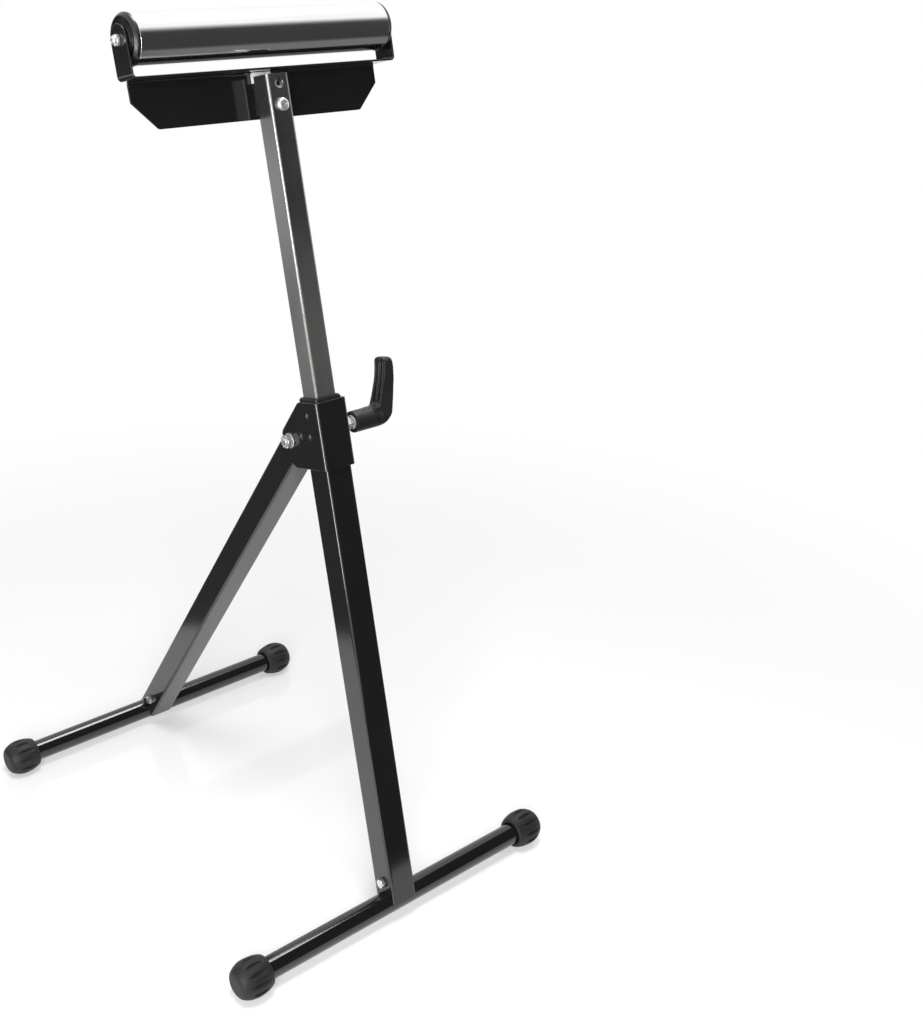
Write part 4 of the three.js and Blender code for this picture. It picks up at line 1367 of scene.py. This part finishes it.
LIFT = 0.002
FLAG_UP = 0.12
DARK = 0.043
WALL_GREY = 0.1
BACK_GREY = 0.13
MID_GREY = 0.16
TOP_LIGHT = 12
EDGE_LIGHT = 20
stand_card("front_card", DARK, [
    (-0.8, -2.8, 0), (-0.8, -2.8, 5.2), (3.6, -2.8, 5.2), (3.6, -2.8, 0),
], ((0, 0, 1), 2.5, 5.1))
stand_card("front_floor_card", DARK, [
    (-0.8, -2.8, LIFT), (3.6, -2.8, LIFT), (3.6, -0.445, LIFT), (-0.8, -0.445, LIFT),
])
stand_card("mid_floor_card", MID_GREY, [
    (0.56, -1.25, 2 * LIFT), (1.5, -1.25, 2 * LIFT), (1.5, 0.1, 2 * LIFT), (0.34, 0.1, 2 * LIFT),
], ((0, -1, 0), 0.75, 1.25))
stand_card("right_floor_card", DARK, [
    (0.3, -0.5, LIFT), (3.6, -0.5, LIFT), (3.6, 0.3, LIFT), (0.3, 0.3, LIFT),
], ((0, 1, 0), -0.6, 0.3))
stand_card("back_floor_card", BACK_GREY, [
    (-0.93, -0.34, LIFT), (0.37, 1.04, LIFT), (-1.2, 2.52, LIFT), (-2.5, 1.14, LIFT),
], ((-0.728, 0.685, 0), 1.45, 2.6))
stand_card("back_card", WALL_GREY, [
    (-0.6, 6.2, 0), (-0.6, 6.2, 2.2), (-6, 2.6, 2.2), (-6, 2.6, 0),
], ((1, 0, 0), -1.9, -0.6))
stand_card("front_flag_card", DARK, [
    (-0.15, -0.345, FLAG_UP), (-0.15, -0.266, FLAG_UP), (0.32, -0.24, FLAG_UP), (0.32, -0.345, FLAG_UP),
])
stand_card("rear_flag_card", DARK, [
    (-0.15, 0.16, FLAG_UP), (-0.15, 0.224, FLAG_UP), (0.32, 0.236, FLAG_UP), (0.32, 0.16, FLAG_UP),
])
stand_card("top_box", TOP_LIGHT, [
    (0.1, -0.2, 2.6), (0.1, 0.75, 2.6), (1.2, 0.75, 2.6), (1.2, -0.2, 2.6),
])
stand_card("edge_box", EDGE_LIGHT, [
    (-1.54, -0.54, 0.05), (-1.54, -0.54, 1.1), (-1.41, -0.85, 1.1), (-1.41, -0.85, 0.05),
])

# %% [markdown]
# The world is a white room. It is at full level where it is seen or mirrored and weaker as a light, so
# that two square soft boxes, one above the stand and one to the left, can model the shapes.

# %% World and lamps
WORLD_FILL = 0.38


def make_world():
    room = Finish("white_studio", "worlds", "Background")
    level = room.seen() * (1 - WORLD_FILL) + WORLD_FILL
    return room.surface(Color=(1, 1, 1, 1), Strength=level)


bpy.context.scene.world = make_world()
print("world light", WORLD_FILL)


def hang_lamp(name, place, aim, side, power):
    """A square soft box that lights the stand; the cards already give its mirror image."""
    lamp = begin(bpy.ops.object.light_add, type="AREA", location=place)
    lamp.name = name
    lamp.data.size = side
    lamp.data.energy = power
    lamp.visible_glossy = False
    lamp.rotation_euler = (Vector(aim) - Vector(place)).to_track_quat("-Z", "Y").to_euler()
    print(name, power, "W")


hang_lamp("key_lamp", (-0.25, -0.55, 2.6), (0, 0, 0.3), 0.7, 35)
hang_lamp("side_lamp", (-1.4, -1.7, 1.35), (0, 0, 0.8), 1.1, 58)

# %% [markdown]
# The camera stands at the photograph's place: its height, turn, tilt and lens were fitted to the straight
# edges of the post, the bars and the roller.

# %% Camera
CAMERA_AT = (-0.79707, -1.18809, 1.05503)
CAMERA_YAW = 43.08
CAMERA_PITCH = -24.62
CAMERA_ROLL = 2.12
CAMERA_LENS = 49.03
camera = begin(bpy.ops.object.camera_add)
camera.name = "camera"
camera.data.lens = CAMERA_LENS
camera.data.sensor_width = 36
yaw = Matrix.Rotation(math.radians(-CAMERA_YAW), 4, "Z")
tilt = Matrix.Rotation(math.radians(90 + CAMERA_PITCH), 4, "X")
roll = Matrix.Rotation(math.radians(CAMERA_ROLL), 4, "Z")
camera.matrix_world = Matrix.Translation(CAMERA_AT) @ yaw @ tilt @ roll
bpy.context.scene.camera = camera
bpy.context.scene.view_settings.view_transform = "Standard"
print("camera at", CAMERA_AT)
